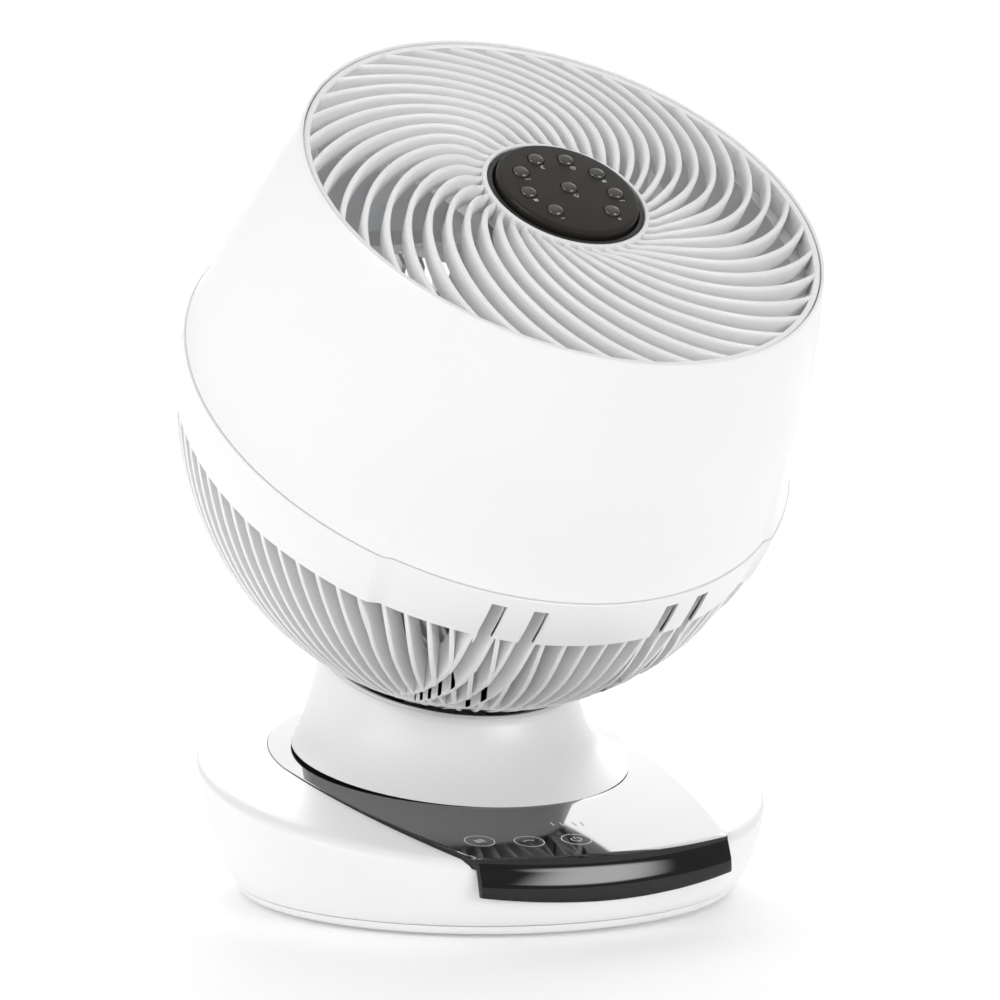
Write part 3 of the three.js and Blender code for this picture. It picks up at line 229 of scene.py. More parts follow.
def mix(a, b, share):
    return a + (b - a) * share


def clamp01(value):
    return min(1.0, max(0.0, value))


def smooth_curve(table, x):
    """A smooth curve through a short table of (x, y)."""
    if x <= table[0][0]:
        return table[0][1]
    if x >= table[-1][0]:
        return table[-1][1]
    i = next(k for k in range(1, len(table)) if table[k][0] >= x)

    def slope(k):
        low, high = max(k - 1, 0), min(k + 1, len(table) - 1)
        return (table[high][1] - table[low][1]) / (table[high][0] - table[low][0])

    (x0, y0), (x1, y1) = table[i - 1], table[i]
    run = x1 - x0
    t = (x - x0) / run
    near = (1 + 2 * t) * (1 - t) ** 2 * y0 + t * (1 - t) ** 2 * run * slope(i - 1)
    far = t * t * (3 - 2 * t) * y1 + t * t * (t - 1) * run * slope(i)
    return near + far


def steps_between(low, high, count):
    return [mix(low, high, i / count) for i in range(count + 1)]


# %% [markdown]
# ## Plastics, rubber and metal
#
# Nearly the whole fan is one satin white plastic. Close up, such a moulding has a very fine
# spark-eroded grain, and its gloss and whiteness drift slightly over a hand's width. Both come
# from noise on Object coordinates: a fine one for the bump, a broad one for colour and gloss.
# The same recipe with other numbers makes the dark plastics, rubber and metal.

# %% One recipe for every moulded surface
def moulded(name, colour, drift, gloss, grain=1400, relief_mm=0.004, metallic=0.0, ior=1.5):
    """A material whose colour drifts to `drift`, whose roughness varies over `gloss`."""
    material = bpy.data.materials.new(name)
    material.use_nodes = True
    nodes, links = material.node_tree.nodes, material.node_tree.links
    shader = nodes["Principled BSDF"]
    shader.inputs["Metallic"].default_value = metallic
    shader.inputs["IOR"].default_value = ior
    place = nodes.new("ShaderNodeTexCoord")
    broad = nodes.new("ShaderNodeTexNoise")
    broad.inputs["Scale"].default_value = 14
    broad.inputs["Detail"].default_value = 3
    fine = nodes.new("ShaderNodeTexNoise")
    fine.inputs["Scale"].default_value = grain
    fine.inputs["Detail"].default_value = 2
    tint = nodes.new("ShaderNodeMix")
    tint.data_type = "RGBA"
    tint.inputs["A"].default_value = (*colour, 1)
    tint.inputs["B"].default_value = (*drift, 1)
    sheen = nodes.new("ShaderNodeMapRange")
    sheen.inputs["From Min"].default_value = 0.3
    sheen.inputs["From Max"].default_value = 0.7
    sheen.inputs["To Min"].default_value = gloss[0]
    sheen.inputs["To Max"].default_value = gloss[1]
    bump = nodes.new("ShaderNodeBump")
    bump.inputs["Strength"].default_value = 0.5
    bump.inputs["Distance"].default_value = relief_mm * mm
    for texture in (broad, fine):
        links.new(place.outputs["Object"], texture.inputs["Vector"])
    links.new(broad.outputs["Fac"], tint.inputs["Factor"])
    links.new(tint.outputs["Result"], shader.inputs["Base Color"])
    links.new(broad.outputs["Fac"], sheen.inputs["Value"])
    links.new(sheen.outputs["Result"], shader.inputs["Roughness"])
    links.new(fine.outputs["Fac"], bump.inputs["Height"])
    links.new(bump.outputs["Normal"], shader.inputs["Normal"])
    return material


white = moulded("satin_white", (0.9, 0.9, 0.895), (0.87, 0.875, 0.875), (0.3, 0.38))
pale = moulded("pale_inner_plastic", (0.9, 0.905, 0.915), (0.86, 0.87, 0.885), (0.38, 0.5))
panel_black = moulded("piano_black", (0.004, 0.004, 0.005), (0.006, 0.006, 0.007), (0.03, 0.06),
                      grain=300, relief_mm=0.0008, ior=1.45)
remote_black = moulded("remote_black", (0.012, 0.01, 0.007), (0.018, 0.015, 0.011), (0.3, 0.42),
                       grain=2200, relief_mm=0.006, ior=1.35)
key_black = moulded("key_black", (0.028, 0.024, 0.021), (0.04, 0.035, 0.03), (0.2, 0.3),
                    grain=1800, relief_mm=0.008, ior=1.8)
rubber = moulded("grey_rubber", (0.16, 0.162, 0.166), (0.21, 0.212, 0.216), (0.65, 0.85),
                 grain=1100, relief_mm=0.03)
seal_grey = moulded("seal_grey", (0.76, 0.765, 0.77), (0.7, 0.705, 0.71), (0.2, 0.32),
                    grain=900, relief_mm=0.01)
print_white = moulded("printed_marks", (0.62, 0.62, 0.63), (0.52, 0.52, 0.54), (0.4, 0.55))
steel = moulded("zinc_plated_steel", (0.5, 0.51, 0.52), (0.4, 0.41, 0.43), (0.22, 0.4),
                grain=700, relief_mm=0.01, metallic=1.0)
motor_grey = moulded("cast_motor_case", (0.24, 0.25, 0.27), (0.17, 0.18, 0.2), (0.35, 0.55),
                     grain=500, relief_mm=0.03, metallic=0.7)
gear_plastic = moulded("natural_acetal", (0.8, 0.76, 0.62), (0.73, 0.69, 0.56), (0.35, 0.45))
board = moulded("circuit_board", (0.012, 0.11, 0.045), (0.018, 0.15, 0.06), (0.3, 0.5),
                grain=420, relief_mm=0.04)
dark = moulded("dark_plastic", (0.022, 0.023, 0.026), (0.034, 0.035, 0.038), (0.35, 0.5),
               grain=1300, relief_mm=0.02)

NODE_FINISH = {
    "white_plastic": white, "pale_plastic": pale, "panel_black": panel_black,
    "remote_black": remote_black, "key_black": key_black, "rubber": rubber, "steel": steel,
    "motor_grey": motor_grey, "gear_plastic": gear_plastic, "circuit_board": board,
    "dark_plastic": dark,
}
print(len(NODE_FINISH), "finishes")

# %% [markdown]
# The record lists which solids each finish covers, so the solids that stay in view get theirs
# from it.

# %% Painting the CAD solids
for entry in frame["record"]["subparts"]:
    node = frame["nodes"].get(entry["node"])
    if node is not None:
        node.data.materials.clear()
        node.data.materials.append(NODE_FINISH[entry["material_slot"]])
print("painted", sum(1 for node in frame["nodes"].values() if node.data.materials), "solids")

# %% [markdown]
# ## The head's front shell
#
# The front of the ball is one moulding: a barrel that narrows from the ball's widest ring to the
# rim round the grille. Its underside is sunk by up to 2.8 mm between two soft edges, which catch
# the light as one long crease on each side. A loft with columns of vertices exactly on the crease
# keeps it crisp, where a subdivision surface would wash it out.

# %% Sizes of the head's shells
SHELL_T = 2.2 * mm
SHELL_SEAM = 3 * mm
SEAM_GAP = 0.3 * mm
BAND_END = -23.5 * mm
RIM_S = 116.2 * mm
RIM_R = 119.8 * mm
RIM_INNER_R = 118.6 * mm
RELIEF_HALF = 42.5
RELIEF_EDGE = 0.7
RELIEF_DEPTH = 2.8 * mm
RELIEF_START = 62 * mm
RELIEF_END = -20 * mm
FRONT_PROFILE = [
    (3 * mm, 144.2 * mm), (10 * mm, 142.1 * mm), (22 * mm, 139.8 * mm), (40 * mm, 136.8 * mm),
    (62 * mm, 133.1 * mm), (85 * mm, 128.2 * mm), (100 * mm, 124.5 * mm), (RIM_S, RIM_R),
]
HEAD_COLUMNS = 240


def relief(s, phi):
    """How far the underside is sunk, along the head axis and round from the lowest meridian."""
    inside = clamp01((RELIEF_HALF - abs(phi)) / RELIEF_EDGE)
    return RELIEF_DEPTH * inside * clamp01((RELIEF_START - s) / (RELIEF_START - RELIEF_END))


def head_angles():
    """Even columns, the nearest ones moved on to the two edges of the crease."""
    step = 360 / HEAD_COLUMNS
    edges = [RELIEF_HALF, RELIEF_HALF - RELIEF_EDGE]
    angles = []
    for i in range(HEAD_COLUMNS):
        phi = -180 + i * step
        near = [edge for edge in edges if abs(abs(phi) - edge) < step / 2]
        angles.append(math.copysign(near[0], phi) if near else phi)
    return angles


def around(r, s, phi):
    """A point of the head: radius, place along the head axis, degrees from the lowest meridian."""
    angle = math.radians(phi)
    return Vector((r * math.sin(angle), -r * math.cos(angle), s))


def on_ball(s, r=BALL_R):
    return math.sqrt(r * r - s * s)


def shell_of(name, outside, inside):
    """A closed thin shell round the head axis from its outer and inner stations (s, radius)."""
    rings = []
    for s, r in outside + inside:
        rings.append([around(r - relief(s, phi), s, phi) for phi in head_angles()])
    return loft(name, rings, ends="bridge")


# %% The front shell
seam_s = SHELL_SEAM + SEAM_GAP / 2
barrel_end = RIM_S - 1.2 * mm
barrel = [(s, smooth_curve(FRONT_PROFILE, s)) for s in steps_between(seam_s + 0.3 * mm, barrel_end, 44)]
rounded_rim = [
    (RIM_S - 0.5 * mm, RIM_R - 0.05 * mm), (RIM_S - 0.12 * mm, RIM_R - 0.3 * mm),
    (RIM_S, (RIM_R + RIM_INNER_R) / 2), (RIM_S - 0.12 * mm, RIM_INNER_R + 0.25 * mm),
]
lining = [(RIM_S - 0.6 * mm, RIM_INNER_R), (RIM_S - 12 * mm, RIM_INNER_R)]
lining += [(s, smooth_curve(FRONT_PROFILE, s) - SHELL_T) for s in steps_between(100 * mm, seam_s, 16)]
seam_edge = [(seam_s, smooth_curve(FRONT_PROFILE, seam_s) - 0.3 * mm)]
front_shell = shell_of("front_shell_moulding", seam_edge + barrel + rounded_rim, lining)
settle(front_shell, TO_HEAD, "head", white, ["front_shell"], crease=22)

# %% [markdown]
# ## The rear shell
#
# Behind the seam the ball goes on as a plain band, and then opens into thin blades that run on
# the ball's surface and meet under it, where the neck hides their hub. Every blade lies on a
# great circle through one pole, so a single blade is drawn once on that pole's meridian, copied
# round the pole and cut off at the band. The four slots let the yoke pass as the head nods, and
# each has a fin down both sides. Booleans cut them, one blade at a time, which stays exact.

# %% Sizes of the rear grille
BLADES = 84
BLADE_TURN = -1.4
BLADE_T = 2.1 * mm
BLADE_DEEP = 13 * mm
BLADE_OUT = BALL_R - 0.5 * mm
BLADE_TRIM = -21.5 * mm
REAR_POLE = 28
RING_R = 60 * mm
RING_T = 2.4 * mm
HUB_R = 26 * mm
HUB_T = 4 * mm
CHEEK_X = [32.5 * mm, 50.5 * mm]
SLOT_HALF = 3.5 * mm
SLOT_TOP = -3 * mm
SLOT_PAST = 18.7
FIN_T = 1.6 * mm
FIN_DEEP = 12 * mm
TO_POLE = Matrix.Rotation(math.radians(180 - REAR_POLE), 4, "X")


def blade_section():
    """Half-round outer edge and square inner one, as (across, out from the ball's centre)."""
    half = BLADE_T / 2
    return [
        (-half, BLADE_OUT - BLADE_DEEP), (-half, BLADE_OUT - 0.55 * mm), (-half * 0.5, BLADE_OUT - 0.1 * mm),
        (half * 0.5, BLADE_OUT - 0.1 * mm), (half, BLADE_OUT - 0.55 * mm), (half, BLADE_OUT - BLADE_DEEP),
    ]


def meridian_blade(name, nearest):
    """A blade on the meridian at +X, from an angle off the pole to past the band."""
    rings = []
    for degrees in steps_between(nearest, 116, 30):
        angle = math.radians(degrees)
        along = Vector((math.sin(angle), 0, math.cos(angle)))
        rings.append([along * out + Vector((0, across, 0)) for across, out in blade_section()])
    return loft(name, rings)


def arc_bar(name, x, half, outer_at, deep, low, high, count=40):
    """A bar in the plane at x, on an arc measured in degrees from the rear pole to the bottom."""
    rings = []
    for degrees in steps_between(low, high, count):
        angle = math.radians(degrees)
        along = Vector((0, -math.sin(angle), -math.cos(angle)))
        far, near = outer_at(degrees), outer_at(degrees) - deep
        sides = [(x - half, near), (x + half, near), (x + half, far), (x - half, far)]
        rings.append([along * on_ball(sx, r) + Vector((sx, 0, 0)) for sx, r in sides])
    return loft(name, rings)


slot_end = math.degrees(math.acos(-SLOT_TOP / BALL_R))
slot_places = [side * x for x in CHEEK_X for side in (-1, 1)]


def slot_cutter():
    bars = [arc_bar("slot", x, SLOT_HALF, lambda a: BALL_R + 6 * mm, 26 * mm, -SLOT_PAST, slot_end)
            for x in slot_places]
    return join("slots", bars)


# %% Blades round the pole
long_blade = meridian_blade("blade", math.degrees(math.asin((HUB_R - HUB_T / 2) / BALL_R)))
short_blade = meridian_blade("short_blade", math.degrees(math.asin(RING_R / BALL_R)))
blades = []
for k in range(BLADES):
    phi = BLADE_TURN + k * 360 / BLADES
    foot = TO_POLE.inverted() @ around(on_ball(BAND_END), BAND_END, phi)
    turn = Matrix.Rotation(math.atan2(foot.y, foot.x), 4, "Z")
    blade = copied(short_blade if k % 2 else long_blade, TO_POLE @ turn)
    if abs(around(on_ball(BAND_END), 0, phi).x) < 140 * mm:
        carve(blade, slot_cutter())
    blades.append(blade)
rear_grille = join("rear_shell_moulding", blades)
for master in (long_blade, short_blade):
    bpy.data.objects.remove(master)
print("rear blades:", len(blades), "copies,", len(rear_grille.data.vertices), "vertices")

# %% Trimming the blades at the band, and sinking them with it
take(rear_grille, "EDIT")
bpy.ops.mesh.bisect(plane_co=(0, 0, BLADE_TRIM), plane_no=(0, 0, 1), use_fill=True, clear_outer=True)
leave_edit()
SINK_RUN = 36 * mm
for vertex in rear_grille.data.vertices:
    place = vertex.co
    phi = math.degrees(math.atan2(place.x, -place.y))
    share = clamp01(1 - (BAND_END - place.z) / SINK_RUN)
    sunk = relief(BAND_END, phi) * share * share * (3 - 2 * share)
    vertex.co = place * (1 - sunk / place.length)


# %% Band, fins, rings and cap
band_top = SHELL_SEAM - SEAM_GAP / 2
band_outside = [(s, on_ball(s)) for s in steps_between(BAND_END, band_top - 0.3 * mm, 14)]
band_outside.append((band_top, on_ball(band_top) - 0.3 * mm))
band_inside = [(s, on_ball(s) - SHELL_T) for s in steps_between(band_top, BAND_END, 8)]
band = shell_of("band", band_outside, band_inside)
carve(band, slot_cutter())


def fin_outer(degrees):
    """Fins stand level with the blades, and sink with the underside towards the band."""
    s = -BALL_R * math.cos(math.radians(degrees))
    share = clamp01(1 - (BAND_END - s) / SINK_RUN)
    return BALL_R - 1.0 * mm - RELIEF_DEPTH * share * share * (3 - 2 * share)


fins = []
for x in slot_places:
    for edge in (-1, 1):
        fins.append(arc_bar("fin", x + edge * (SLOT_HALF + FIN_T / 2), FIN_T / 2, fin_outer, FIN_DEEP,
                            -SLOT_PAST - 0.7, slot_end - 0.4))
    fins.append(arc_bar("slot_foot", x, SLOT_HALF + FIN_T / 2, fin_outer, FIN_DEEP,
                        -SLOT_PAST - 0.7, -SLOT_PAST, count=2))


def pole_ring(name, r, thick, deep):
    """A ring on the ball round the blades' pole."""
    top, foot = on_ball(r, BLADE_OUT), on_ball(r, BLADE_OUT - deep)
    outline = [(r, top - 0.4 * mm), (r - 0.4 * mm, top), (r - thick + 0.4 * mm, top + thick * 0.3),
               (r - thick, top), (r - thick, foot), (r, foot)]
    return put(turned(name, outline, steps=96), TO_POLE)


rings = [pole_ring("ring", RING_R, RING_T, BLADE_DEEP * 0.7), pole_ring("hub", HUB_R, HUB_T, BLADE_DEEP)]
rear_shell = join("rear_shell_moulding", [rear_grille, band] + fins + rings)
settle(rear_shell, TO_HEAD, "head", white, ["rear_shell"], crease=30)

cap_r = HUB_R - HUB_T - 0.3 * mm
cap_outline = [(0, BLADE_OUT - 8 * mm), (cap_r, BLADE_OUT - 8 * mm)]
cap_outline += [(r, on_ball(r, BLADE_OUT)) for r in steps_between(cap_r, 0, 8)]
cap = put(turned("rear_cap_moulding", cap_outline, steps=64), TO_POLE)
settle(cap, TO_HEAD, "head", white, ["rear_cap"])

# %% [markdown]
# ## The front grille
#
# The grille's ribs swirl from the outer ring to the hub on a spiral whose angle grows evenly
# with the radius, and their crests rise a little above the rim half way in. One rib is lofted
# with a rounded crest; Spin in its duplicating mode then lays the other copies round the hub.

# %% Sizes of the grille and dock
GRILLE_RIBS = 38
GRILLE_SWIRL = 0.85
GRILLE_TURN = -1.95
GRILLE_OUT = 114 * mm
GRILLE_RIB_T = 2.7 * mm
GRILLE_RIB_DEEP = 9 * mm
GRILLE_RING_R = 118.2 * mm
GRILLE_RING_T = 2.8 * mm
GRILLE_HUB_R = 38.4 * mm
GRILLE_HUB_T = 2.2 * mm
GRILLE_BACK = 104.3 * mm
GRILLE_RISE = [
    (36 * mm, -1.2 * mm), (42 * mm, -0.3 * mm), (46 * mm, 1.5 * mm), (55 * mm, 3.5 * mm),
    (65 * mm, 4 * mm), (80 * mm, 3 * mm), (95 * mm, 1.5 * mm), (105 * mm, 0), (116.8 * mm, -1.3 * mm),
]


def swirl_rib():
    rings = []
    half = GRILLE_RIB_T / 2
    section = [(-half * 0.8, -GRILLE_RIB_DEEP), (-half, -1.5 * mm), (-half * 0.72, -0.5 * mm),
               (-half * 0.3, 0), (half * 0.3, 0), (half * 0.72, -0.5 * mm), (half, -1.5 * mm),
               (half * 0.8, -GRILLE_RIB_DEEP)]
    for r in steps_between(37.2 * mm, 116.6 * mm, 34):
        angle = math.radians(GRILLE_TURN - GRILLE_SWIRL * (GRILLE_OUT - r) / mm)
        lean = math.atan(r / mm * math.radians(GRILLE_SWIRL))
        side = Vector((-math.sin(angle + lean), math.cos(angle + lean), 0))
        crest = Vector((r * math.cos(angle), r * math.sin(angle), RIM_S + smooth_curve(GRILLE_RISE, r)))
        rings.append([crest + side * across + Vector((0, 0, up)) for across, up in section])
    return loft("front_grille_moulding", rings)


# %% The grille
grille = swirl_rib()
take(grille, "EDIT")
bpy.ops.mesh.spin(steps=GRILLE_RIBS - 1, dupli=True, angle=2 * math.pi * (1 - 1 / GRILLE_RIBS),
                  center=(0, 0, 0), axis=(0, 0, 1))
leave_edit()
ring_top = RIM_S - 1 * mm
ring_in = GRILLE_RING_R - GRILLE_RING_T
outer_ring = turned("grille_ring", [
    (GRILLE_RING_R, GRILLE_BACK), (GRILLE_RING_R, ring_top - 0.5 * mm), (GRILLE_RING_R - 0.5 * mm, ring_top),
    (ring_in + 0.6 * mm, ring_top), (ring_in, ring_top - 0.6 * mm), (ring_in, GRILLE_BACK)], steps=192)
hub_top = RIM_S - 0.3 * mm
hub_in = GRILLE_HUB_R - GRILLE_HUB_T
hub_ring = turned("grille_hub", [
    (GRILLE_HUB_R, GRILLE_BACK), (GRILLE_HUB_R, hub_top - 0.7 * mm),
    (GRILLE_HUB_R - 0.3 * mm, hub_top - 0.2 * mm), (GRILLE_HUB_R - 0.9 * mm, hub_top),
    (hub_in + 0.7 * mm, hub_top), (hub_in + 0.2 * mm, hub_top - 0.2 * mm),
    (hub_in, hub_top - 0.7 * mm), (hub_in, GRILLE_BACK)], steps=128)
grille = join("front_grille_moulding", [grille, outer_ring, hub_ring])
settle(grille, TO_HEAD, "head", white, ["front_grille"], crease=40)

# %% [markdown]
# ## The remote control in its dock
#
# A round remote rests in a dark cup in the middle of the grille. It is two shallow shells with a
# fine parting line, nine domed keys stand in its lid, and a light mark is printed beside each
# key. The keys are pieces of their own, because each one presses.

# %% Sizes of the remote
REMOTE_R = 32.8 * mm
REMOTE_T = 10 * mm
REMOTE_TOP = 119.1 * mm
REMOTE_BACK = REMOTE_TOP - REMOTE_T
REMOTE_WALL = 1.6 * mm
SPLIT_GAP = 0.3 * mm
KEY_R = 3.75 * mm
KEY_RING = 22 * mm
KEY_DOME = 1.9 * mm
KEY_ANGLES = [-50, -10, 30, 70, 110, 150, 190, 230]
DOCK_R = GRILLE_HUB_R - GRILLE_HUB_T - 0.3 * mm
key_places = [Vector((0, 0, 0))]
key_places += [Vector((math.cos(a), math.sin(a), 0)) * KEY_RING for a in map(math.radians, KEY_ANGLES)]

# %% Cup and shells
cup_floor = REMOTE_BACK - 0.3 * mm
cup = turned("dock_cup_moulding", [
    (0, cup_floor - 2.4 * mm), (DOCK_R, cup_floor - 2.4 * mm), (DOCK_R, RIM_S - 1.2 * mm),
    (DOCK_R - 0.5 * mm, RIM_S - 0.8 * mm), (REMOTE_R + 1.1 * mm, RIM_S - 0.8 * mm),
    (REMOTE_R + 0.6 * mm, RIM_S - 1.4 * mm), (REMOTE_R + 0.6 * mm, cup_floor + 0.5 * mm),
    (REMOTE_R + 0.1 * mm, cup_floor), (0, cup_floor)], steps=128)
settle(cup, TO_HEAD, "head", dark, ["dock_cup"])

split = REMOTE_BACK + REMOTE_T / 2
lower = turned("remote_lower_shell", [
    (0, REMOTE_BACK), (REMOTE_R - 2 * mm, REMOTE_BACK), (REMOTE_R - 0.6 * mm, REMOTE_BACK + 0.5 * mm),
    (REMOTE_R, REMOTE_BACK + 1.6 * mm), (REMOTE_R, split - SPLIT_GAP / 2),
    (REMOTE_R - REMOTE_WALL, split - SPLIT_GAP / 2), (REMOTE_R - REMOTE_WALL, REMOTE_BACK + REMOTE_WALL),
    (0, REMOTE_BACK + REMOTE_WALL)])
settle(lower, TO_HEAD, "remote", remote_black, ["remote_lower"])

lid = turned("remote_lid", [
    (0, REMOTE_TOP), (REMOTE_R - 2.0 * mm, REMOTE_TOP), (REMOTE_R - 1.1 * mm, REMOTE_TOP - 0.12 * mm),
    (REMOTE_R - 0.45 * mm, REMOTE_TOP - 0.45 * mm), (REMOTE_R - 0.1 * mm, REMOTE_TOP - 1.1 * mm),
    (REMOTE_R, REMOTE_TOP - 1.9 * mm), (REMOTE_R, split + SPLIT_GAP / 2),
    (REMOTE_R - REMOTE_WALL, split + SPLIT_GAP / 2), (REMOTE_R - REMOTE_WALL, REMOTE_TOP - REMOTE_WALL),
    (0, REMOTE_TOP - REMOTE_WALL)])
bores = []
for spot in key_places:
    deselect()
    bpy.ops.mesh.primitive_cylinder_add(radius=KEY_R + 0.3 * mm, depth=6 * mm, vertices=40,
                                        location=spot + Vector((0, 0, REMOTE_TOP)))
    bores.append(put(bpy.context.object, bpy.context.object.matrix_world.copy()))
carve(lid, join("bores", bores))
settle(lid, TO_HEAD, "remote", remote_black, ["remote_upper"], crease=25)

# %% Domed keys
key_foot = REMOTE_TOP - REMOTE_WALL - 1.0 * mm
key_outline = [(0, key_foot), (KEY_R + 0.8 * mm, key_foot), (KEY_R + 0.8 * mm, key_foot + 0.7 * mm),
               (KEY_R, key_foot + 0.7 * mm), (KEY_R, REMOTE_TOP - 0.1 * mm)]
key_outline += [(KEY_R * math.cos(a), REMOTE_TOP - 0.1 * mm + KEY_DOME * math.sin(a))
                for a in steps_between(math.radians(10), math.radians(90), 9)]
key_outline[-1] = (0, key_outline[-1][1])
key_master = turned("key", key_outline, steps=40)
for number, spot in enumerate(key_places, start=1):
    key = copied(key_master, Matrix.Translation(spot))
    key.name = f"remote_key_{number}"
    settle(key, TO_HEAD, f"key_{number}", key_black, [f"key_{number}"])
bpy.data.objects.remove(key_master)

# %% [markdown]
# ## The neck
#
# The neck is a leaning drum that opens into a flare at its foot and ends where it meets the
# ball, with a soft grey ring closing the gap. Its rings are circles whose centre drifts back
# with height, so it is lofted; the top ring is found where each column would touch the ball.
# The flare is sharper at the sides than in front. A thin skirt under its edge hides the hole in
# the panel, and stays a hair above the highest part of the panel that it passes as it turns.

# %% The slope of the panel, which the neck has to clear
PANEL_RING_R = 91 * mm
PANEL_FRONT = 148.8 * mm
PANEL_RISE = 0.0112
PANEL_PROUD = 0.25 * mm
EDGE_SHOWN = 1.6 * mm


def panel_rise(forward):
    """The panel climbs evenly from the back of its ring to its front."""
    return max(0.0, (forward + PANEL_RING_R) * PANEL_RISE)


def edge_lift(forward):
    """The panel's glass stands out of the base a little more towards its front."""
    return EDGE_SHOWN * clamp01(forward / PANEL_FRONT)


# %% Sizes of the neck
FLARE_R = 80 * mm
FLARE_UP = 3.0 * mm
NECK_R = 60.5 * mm
NECK_UP = 41 * mm
NECK_BACK = 21 * mm
NECK_LEAN = 0.15
NECK_TAPER = 0.25
FRONT_FLARE = 5
SIDE_FLARE = 8
BALL_GAP = 3 * mm
NECK_WALL = 2.4 * mm
NECK_COLUMNS = 160
TURRET_TOP = 4.9 * mm
FLANGE_R = 66 * mm
SKIRT_WALL = 1.2 * mm
SKIRT_GAP = 0.3 * mm
SKIRT_LEAST = 0.02 * mm
TURRET_CLEAR_R = 72.5 * mm
TURRET_GAP = 0.3 * mm
SEAL_GAP = 1.2 * mm


def neck_ring(up, inset):
    """One circle of the neck at a height over the deck, drawn in by an inset."""
    drop = NECK_UP - FLARE_UP
    foot_back = NECK_BACK - NECK_LEAN * drop
    foot_r = NECK_R + NECK_TAPER * drop
    ring = []
    for j in range(NECK_COLUMNS):
        a = 2 * math.pi * j / NECK_COLUMNS
        power = mix(SIDE_FLARE, FRONT_FLARE, max(0.0, math.cos(a)))
        flare = max(0.0, (NECK_UP - up) / drop) ** power
        back = NECK_BACK + NECK_LEAN * (up - NECK_UP) - foot_back * flare
        r = NECK_R + NECK_TAPER * (NECK_UP - up) + (FLARE_R - foot_r) * flare - inset
        ring.append(Vector((r * math.sin(a), back - r * math.cos(a), up)))
    return ring


def neck_meets(column, inset, ball_r):
    """The height at which one column of the neck meets a ball round the head."""
    up = NECK_UP
    for _ in range(12):
        spot = neck_ring(up, inset)[column]
        up = BALL_UP - math.sqrt(ball_r ** 2 - spot.x ** 2 - spot.y ** 2)
    return up


def neck_rims(inset, ball_r):
    return [neck_meets(column, inset, ball_r) for column in range(NECK_COLUMNS)]


def neck_part(low, share, inset, rims):
    """A ring part of the way from one height to the rim."""
    return [neck_ring(mix(low, rims[j], share), inset)[j] for j in range(NECK_COLUMNS)]


def flat_ring(r, up):
    turns = [2 * math.pi * j / NECK_COLUMNS for j in range(NECK_COLUMNS)]
    return [Vector((r * math.sin(a), 0.0 - r * math.cos(a), up)) for a in turns]


def skirt_ring(r):
    """The neck's lowest edge: a little over the highest panel that it passes as it turns."""
    ring = flat_ring(r, 0)
    for j, vertex in enumerate(ring):
        passed = [math.tau * j / NECK_COLUMNS + math.radians(turn) for turn in range(-38, 39, 2)]
        forwards = [FLARE_R * math.cos(a) for a in passed]
        highest = max(panel_rise(f) + edge_lift(f) for f in forwards)
        vertex.z = min(FLARE_UP - SKIRT_LEAST, highest + PANEL_PROUD + SKIRT_GAP)
    return ring


# %% Neck and its soft ring
rim_r = BALL_R + BALL_GAP
outer_rims, inner_rims = neck_rims(0, rim_r), neck_rims(NECK_WALL, rim_r)
neck_floor = TURRET_TOP + 2.3 * mm
neck_shares = [0, 0.015, 0.035, 0.06, 0.09, 0.12, 0.16, 0.2, 0.25, 0.31, 0.38, 0.46, 0.55, 0.65, 0.76]
neck_shares += [0.88, 0.985]
neck_rings = [neck_part(FLARE_UP, share, 0, outer_rims) for share in neck_shares]
neck_rings.append(neck_part(FLARE_UP, 1, 0.35 * mm, outer_rims))
neck_rings += [neck_part(neck_floor, share, NECK_WALL, inner_rims) for share in (1, 0.7, 0.4, 0.2, 0)]
neck_rings += [flat_ring(FLANGE_R, neck_floor), flat_ring(FLANGE_R, TURRET_TOP + TURRET_GAP),
               flat_ring(TURRET_CLEAR_R, TURRET_TOP + TURRET_GAP), flat_ring(TURRET_CLEAR_R, FLARE_UP),
               flat_ring(FLARE_R - SKIRT_WALL, FLARE_UP), skirt_ring(FLARE_R - SKIRT_WALL),
               skirt_ring(FLARE_R)]
neck = loft("neck_moulding", neck_rings, ends="bridge")
settle(neck, TO_DECK, "neck", white, ["neck_housing"], crease=30)

near, far = BALL_R + SEAL_GAP, BALL_R + BALL_GAP + 5 * mm
on_rim = BALL_R + BALL_GAP - 0.06 * mm
seal_edge, seal_out, seal_in = 0.6 * mm, NECK_WALL + 0.3 * mm, NECK_WALL + 5 * mm
seal_profile = [(seal_out, far), (seal_out, on_rim), (seal_edge, on_rim), (seal_edge, near + 0.5 * mm),
                (seal_edge + 0.4 * mm, near), (seal_in - 0.4 * mm, near), (seal_in, near + 0.5 * mm),
                (seal_in, far)]
seal_rings = [neck_part(0, 1, inset, neck_rims(inset, r)) for inset, r in seal_profile]
seal = loft("collar_seal_ring", seal_rings, ends="bridge")
settle(seal, TO_DECK, "neck", seal_grey, ["collar_seal"])

# %% [markdown]
# ## The base
#
# The base is a low bowl on a round foot, cut off by the sloping deck. Seen from above its edge
# is a circle set forward of the neck, flattened at the front where the panel's lip drops over
# it. Each ring of the wall runs between the round seam at the foot and that edge, so it is a
# loft again; the recess for the panel is then cut with a slightly larger copy of the panel.
# The wall is nearly straight in front and at the sides, and rounder at the back.

